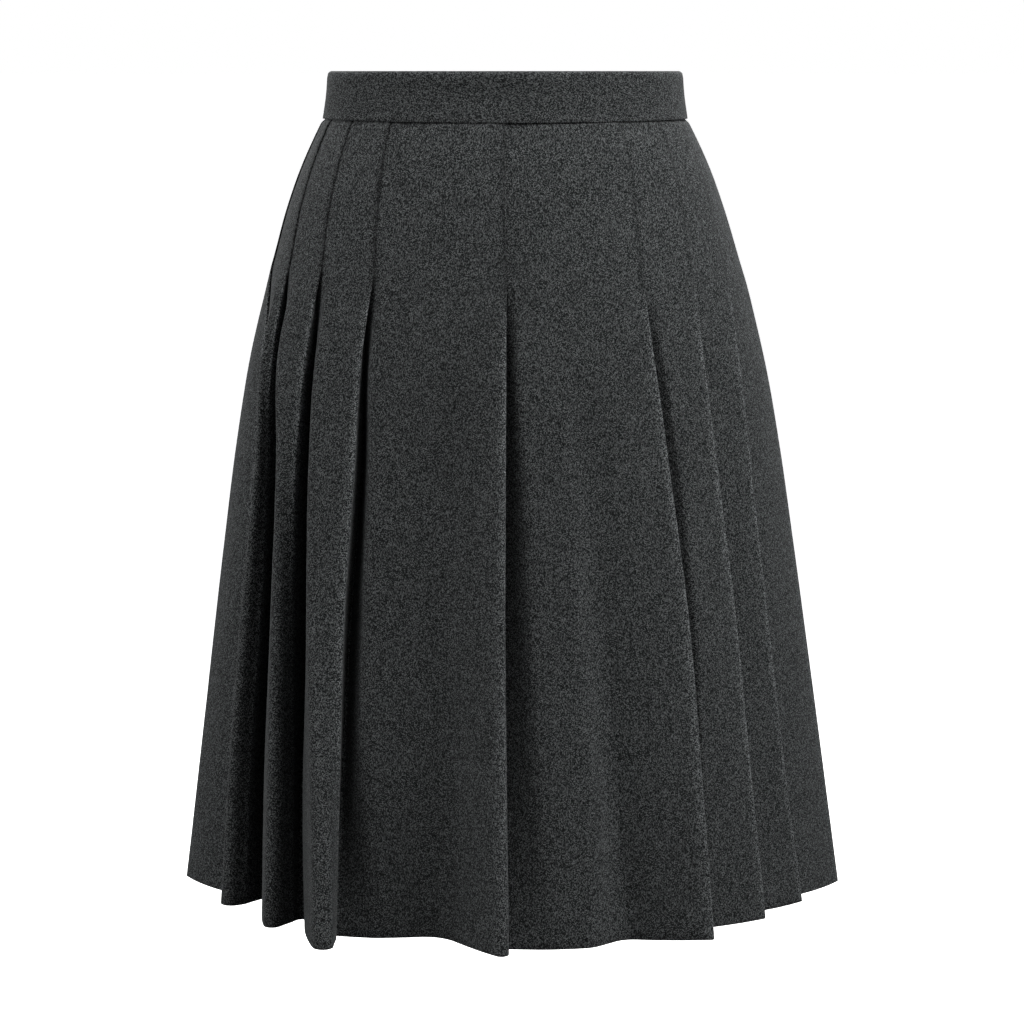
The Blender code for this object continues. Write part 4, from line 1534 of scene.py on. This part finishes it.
@dataclass
class BackButton:
    """Four-hole resin button on the band's outer lap, with its sewing thread."""

    radius: float = 7.5 * MM
    thickness: float = 2.6 * MM
    rim: float = 1.5 * MM
    rim_round: float = 0.6 * MM
    edge_round: float = 0.22 * MM
    back_rim: float = 1.1 * MM
    back_rise: float = 0.22 * MM
    recess: float = 0.55 * MM
    recess_taper: float = 0.94
    hole_radius: float = 0.85 * MM
    hole_circle: float = 1.9 * MM
    holes: int = 4
    drill_length: float = 20.0 * MM
    thread_radius: float = 0.2 * MM
    strands: int = 3
    strand_pitch: float = 1.9
    strand_rise: float = 0.28 * MM
    strand_lift: float = 0.05 * MM
    strand_stretch: float = 1.35
    strand_sink: float = 1.15
    from_lap_end: float = 12.0
    drop: float = 18.0
    stand_out: float = 0.3

    def build(self, band: Waistband, resin: bpy.types.Material, thread: bpy.types.Material) -> None:
        """Makes the button and its thread.

        Args:
            band: The band it is sewn to.
            resin: Material of the button.
            thread: Material of the thread.
        """
        _, total = band.run(band.stack.oval(self.drop))
        seat = band.seat(1.0 - self.from_lap_end * MM / total, self.drop, self.stand_out)
        seat = seat @ Matrix.Translation((0.0, 0.0, 0.5 * self.thickness))
        button = self.turn_disc()
        for number in range(self.holes):
            self.drill(button, 2.0 * math.pi * (number + 0.5) / self.holes)
        edges = button.modifiers.new("soft_edges", "BEVEL")
        edges.width = self.edge_round
        edges.segments = 2
        edges.limit_method = "ANGLE"
        edges.angle_limit = math.radians(40.0)
        apply_modifiers(button)
        button.data.transform(seat)
        smooth_by_angle(button, 45.0)
        button.data.materials.clear()
        button.data.materials.append(resin)
        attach(button, BODY)
        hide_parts("back_button")
        sewing = self.sew()
        sewing.data.transform(seat)
        sewing.data.materials.append(thread)
        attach(sewing, BODY)

    def turn_disc(self) -> bpy.types.Object:
        """Turns the disc: a rounded rim round a recessed middle, and a domed back.

        Returns:
            The disc, not yet drilled.
        """
        deselect_all()
        bpy.ops.mesh.primitive_cylinder_add(vertices=64, radius=self.radius, depth=self.thickness)
        disc = bpy.context.active_object
        disc.name = "resin_button"
        self.pick_face(disc, 1.0)
        bpy.ops.object.mode_set(mode="EDIT")
        bpy.ops.mesh.inset(thickness=self.rim)
        bpy.ops.mesh.extrude_region_move(TRANSFORM_OT_translate={"value": (0.0, 0.0, -self.recess)})
        bpy.ops.transform.resize(value=(self.recess_taper, self.recess_taper, 1.0))
        bpy.ops.object.mode_set(mode="OBJECT")
        self.pick_face(disc, -1.0)
        bpy.ops.object.mode_set(mode="EDIT")
        bpy.ops.mesh.inset(thickness=self.back_rim)
        bpy.ops.transform.translate(value=(0.0, 0.0, -self.back_rise))
        bpy.ops.object.mode_set(mode="OBJECT")
        rounding = disc.modifiers.new("rim_round", "BEVEL")
        rounding.width = self.rim_round
        rounding.segments = 4
        rounding.limit_method = "ANGLE"
        rounding.angle_limit = math.radians(50.0)
        apply_modifiers(disc)
        return disc

    def pick_face(self, piece: bpy.types.Object, upward: float) -> None:
        """Selects the flat face that looks along z, or against it.

        Args:
            piece: The piece.
            upward: 1 for along z, -1 for against it.
        """
        for polygon in piece.data.polygons:
            polygon.select = polygon.normal.z * upward > 0.99 and len(polygon.vertices) > 8
        for edge in piece.data.edges:
            edge.select = False
        for vertex in piece.data.vertices:
            vertex.select = False
        for polygon in piece.data.polygons:
            if polygon.select:
                for vertex in polygon.vertices:
                    piece.data.vertices[vertex].select = True

    def drill(self, disc: bpy.types.Object, angle: float) -> None:
        """Drills one thread hole.

        Args:
            disc: The button.
            angle: Where the hole lies round the middle, in radians.
        """
        deselect_all()
        place = (self.hole_circle * math.cos(angle), self.hole_circle * math.sin(angle), 0.0)
        bpy.ops.mesh.primitive_cylinder_add(
            vertices=20, radius=self.hole_radius, depth=self.drill_length, location=place
        )
        drill = bpy.context.active_object
        cut = disc.modifiers.new("hole", "BOOLEAN")
        cut.operation = "DIFFERENCE"
        cut.solver = "EXACT"
        cut.object = drill
        apply_modifiers(disc)
        bpy.data.objects.remove(drill, do_unlink=True)

    def sew(self) -> bpy.types.Object:
        """Makes the thread: strands over the button and back under it, through each pair of holes.

        Returns:
            The strands, joined into one piece.
        """
        strands = []
        reach = self.hole_circle * math.sqrt(0.5)
        for row in (-1.0, 1.0):
            for strand in range(self.strands):
                spread = (strand - 0.5 * (self.strands - 1)) * self.strand_pitch * self.thread_radius
                rise = self.strand_rise + self.strand_lift * (strand % 2)
                strands.append(self.strand(reach, row * reach + spread, rise))
        return joined(strands, "button_thread")

    def strand(self, reach: float, across: float, rise: float) -> bpy.types.Object:
        """One strand of thread from hole to hole.

        Args:
            reach: Half the distance between the two holes.
            across: Where the strand lies.
            rise: How high it stands over the recess.

        Returns:
            The strand.
        """
        deselect_all()
        floor = 0.5 * self.thickness - self.recess
        bpy.ops.mesh.primitive_torus_add(
            major_segments=28, minor_segments=8, major_radius=reach, minor_radius=self.thread_radius
        )
        loop = bpy.context.active_object
        turn = Matrix.Rotation(0.5 * math.pi, 4, "X")
        stretch = Matrix.Diagonal((1.0, 1.0, self.strand_stretch, 1.0))
        place = Matrix.Translation((0.0, across, floor - self.strand_sink * reach + rise))
        loop.data.transform(place @ stretch @ turn)
        return loop


@dataclass
class Buttonhole:
    """Slit in the outer lap that the button comes through, whipped all round with close stitches.

    The stitches are one loop of thread, copied along both edges of the slit, and longer across its ends.
    """

    length: float = 17.0
    from_lap_end: float = 8.0
    drop: float = 18.0
    stitch_length: float = 2.2
    pitch: float = 0.5
    thread_radius: float = 0.2
    end_stitches: int = 4
    end_stretch: float = 2.0
    squeeze: float = 0.3
    stand_out: float = 0.05

    def build(self, band: Waistband, thread: bpy.types.Material) -> None:
        """Makes the stitches.

        Args:
            band: The band that the slit is cut in.
            thread: Material of the thread.
        """
        _, total = band.run(band.stack.oval(self.drop))
        pattern = self.stitch()
        stitches = []
        count = int(self.length / self.pitch)
        for number in range(count):
            share = 1.0 - (self.from_lap_end + number * self.pitch) * MM / total
            if number < self.end_stitches or number >= count - self.end_stitches:
                stitches.append(self.copy_at(pattern, band, share, self.drop, self.end_stretch))
                continue
            for row in (-0.5, 0.5):
                drop = self.drop + row * self.stitch_length
                stitches.append(self.copy_at(pattern, band, share, drop, 1.0))
        bpy.data.objects.remove(pattern, do_unlink=True)
        whipping = joined(stitches, "buttonhole_stitches")
        whipping.data.materials.append(thread)
        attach(whipping, BODY)

    def stitch(self) -> bpy.types.Object:
        """Models one stitch: a flat loop of thread over the cloth and back under it.

        Returns:
            The stitch, long along y and standing out along z.
        """
        deselect_all()
        bpy.ops.mesh.primitive_torus_add(
            major_segments=14,
            minor_segments=6,
            major_radius=0.5 * self.stitch_length * MM,
            minor_radius=self.thread_radius * MM,
        )
        loop = bpy.context.active_object
        squeeze = Matrix.Diagonal((1.0, 1.0, self.squeeze, 1.0))
        loop.data.transform(squeeze @ Matrix.Rotation(0.5 * math.pi, 4, "Y"))
        return loop

    def copy_at(
        self, pattern: bpy.types.Object, band: Waistband, share: float, drop: float, stretch: float
    ) -> bpy.types.Object:
        """Copies the stitch to a place on the band.

        Args:
            pattern: The stitch, lying along y and standing out along z.
            band: The band.
            share: Share of the band's length.
            drop: Drop below the band's top edge in millimetres.
            stretch: How many times longer the copy is.

        Returns:
            The copy, with a mesh of its own.
        """
        copy = bpy.data.objects.new("stitch", pattern.data.copy())
        bpy.context.scene.collection.objects.link(copy)
        seat = band.seat(share, drop, self.stand_out)
        copy.data.transform(seat @ Matrix.Diagonal((1.0, stretch, 1.0, 1.0)))
        return copy


@dataclass
class Studio:
    """Floor, soft lights and camera.

    Each of lights gives a lamp's name, place, width in metres and power in watts. All of them look at aim.
    """

    eye_distance: float = 2.28
    eye_side: float = 0.0041
    pitch: float = 8.214
    lens: float = 107.4
    sensor: float = 36.0
    surround: float = 0.02
    overhead: float = 0.15
    overhead_spread: float = 70.0
    overhead_tilt: float = 12.0
    floor_width: float = 2400.0
    aim: tuple[float, float, float] = (0.0, 0.0, -0.3)
    lights: tuple[tuple[str, tuple[float, float, float], float, float], ...] = (
        ("left_softbox", (-2.53, -0.45, 0.53), 1.5, 29.0),
        ("right_softbox", (2.53, -0.45, 0.53), 1.5, 20.5),
        ("front_softbox", (0.88, -2.41, 0.53), 1.5, 6.5),
        ("high_left_softbox", (-1.34, -0.77, 1.91), 1.5, 24.5),
        ("high_right_softbox", (1.34, -0.77, 1.91), 1.5, 68.0),
        ("back_left_softbox", (-1.31, 1.88, 1.13), 1.6, 34.0),
        ("back_right_softbox", (1.11, 1.92, 1.25), 1.6, 36.0),
    )

    def build(self) -> None:
        """Sets up the whole studio."""
        self.lay_floor()
        self.light_surround()
        self.hang_lights()
        self.place_camera()

    def lay_floor(self) -> None:
        """Lays the pale floor."""
        deselect_all()
        bpy.ops.mesh.primitive_plane_add(size=self.floor_width, location=(0.0, 0.0, FLOOR_HEIGHT))
        floor = bpy.context.active_object
        floor.name = "studio_floor"
        floor.visible_diffuse = False
        floor.visible_glossy = False
        floor.data.materials.append(FloorFinish().material())

    def light_surround(self) -> None:
        """Makes the surround white to look at, with a weaker glow that fills the shadows."""
        world = bpy.data.worlds.new("pale_surround")
        bpy.context.scene.world = world
        world.use_nodes = True
        tree = world.node_tree
        glow = tree.nodes["Background"]
        glow.inputs["Color"].default_value = (1.0, 1.0, 1.0, 1.0)
        glow.inputs["Strength"].default_value = self.surround
        backdrop = tree.nodes.new("ShaderNodeBackground")
        backdrop.inputs["Color"].default_value = (1.0, 1.0, 1.0, 1.0)
        backdrop.inputs["Strength"].default_value = 1.0
        seen = tree.nodes.new("ShaderNodeLightPath")
        mixed = tree.nodes.new("ShaderNodeMixShader")
        tree.links.new(seen.outputs["Is Camera Ray"], mixed.inputs[0])
        tree.links.new(glow.outputs[0], mixed.inputs[1])
        tree.links.new(backdrop.outputs[0], mixed.inputs[2])
        tree.links.new(mixed.outputs[0], tree.nodes["World Output"].inputs["Surface"])

    def hang_lights(self) -> None:
        """Hangs the soft lights, each turned to the skirt's middle."""
        target = Vector(self.aim)
        for name, place, size, power in self.lights:
            lamp = bpy.data.lights.new(name, "AREA")
            lamp.shape = "SQUARE"
            lamp.size = size
            lamp.energy = power
            light = bpy.data.objects.new(name, lamp)
            light.location = place
            light.rotation_euler = (target - Vector(place)).to_track_quat("-Z", "Y").to_euler()
            bpy.context.scene.collection.objects.link(light)
        lamp = bpy.data.lights.new("overhead", "SUN")
        lamp.energy = self.overhead
        lamp.angle = math.radians(self.overhead_spread)
        light = bpy.data.objects.new("overhead", lamp)
        light.rotation_euler = (math.radians(self.overhead_tilt), 0.0, 0.0)
        bpy.context.scene.collection.objects.link(light)

    def place_camera(self) -> None:
        """Stands the camera level with the waist, looking a little down."""
        lens = bpy.data.cameras.new("camera")
        lens.lens = self.lens
        lens.sensor_width = self.sensor
        camera = bpy.data.objects.new("camera", lens)
        camera.location = (self.eye_side, -self.eye_distance, 0.0)
        camera.rotation_euler = (math.radians(90.0 - self.pitch), 0.0, 0.0)
        bpy.context.scene.collection.objects.link(camera)
        bpy.context.scene.camera = camera
        bpy.context.scene.view_settings.view_transform = "Standard"


def main() -> None:
    """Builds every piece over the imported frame."""
    logging.basicConfig(level=logging.INFO, format="%(name)s: %(message)s")
    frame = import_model()
    log.info("frame has %d nodes", len(frame["nodes"]))
    suiting = SuitingFinish(name="charcoal_suiting").material()
    band_suiting = SuitingFinish(name="charcoal_band", turned=True).material()
    resin = ResinFinish().material()
    thread = ThreadFinish().material()
    form = SkirtForm()
    panels = (
        PleatedPanel("pleated_front", "front_panel", 0, 8, (1.02, 0.61), 0.53),
        PleatedPanel("pleated_back_left", "back_left_panel", 8, 12, (0.52, 0.61), 0.25),
        PleatedPanel("pleated_back_right", "back_right_panel", 12, 16, (0.52, 0.61), 0.25),
    )
    band = Waistband()
    strip = band.build(band_suiting)
    log.info("%s: %d faces", strip.name, len(strip.data.polygons))
    for panel in panels:
        piece = panel.build(form, suiting)
        log.info("%s: %d faces", piece.name, len(piece.data.polygons))
    Buttonhole().build(band, thread)
    BackButton().build(band, resin, thread)
    log.info("button sewn on")
    Studio().build()


if __name__ == "__main__":
    main()
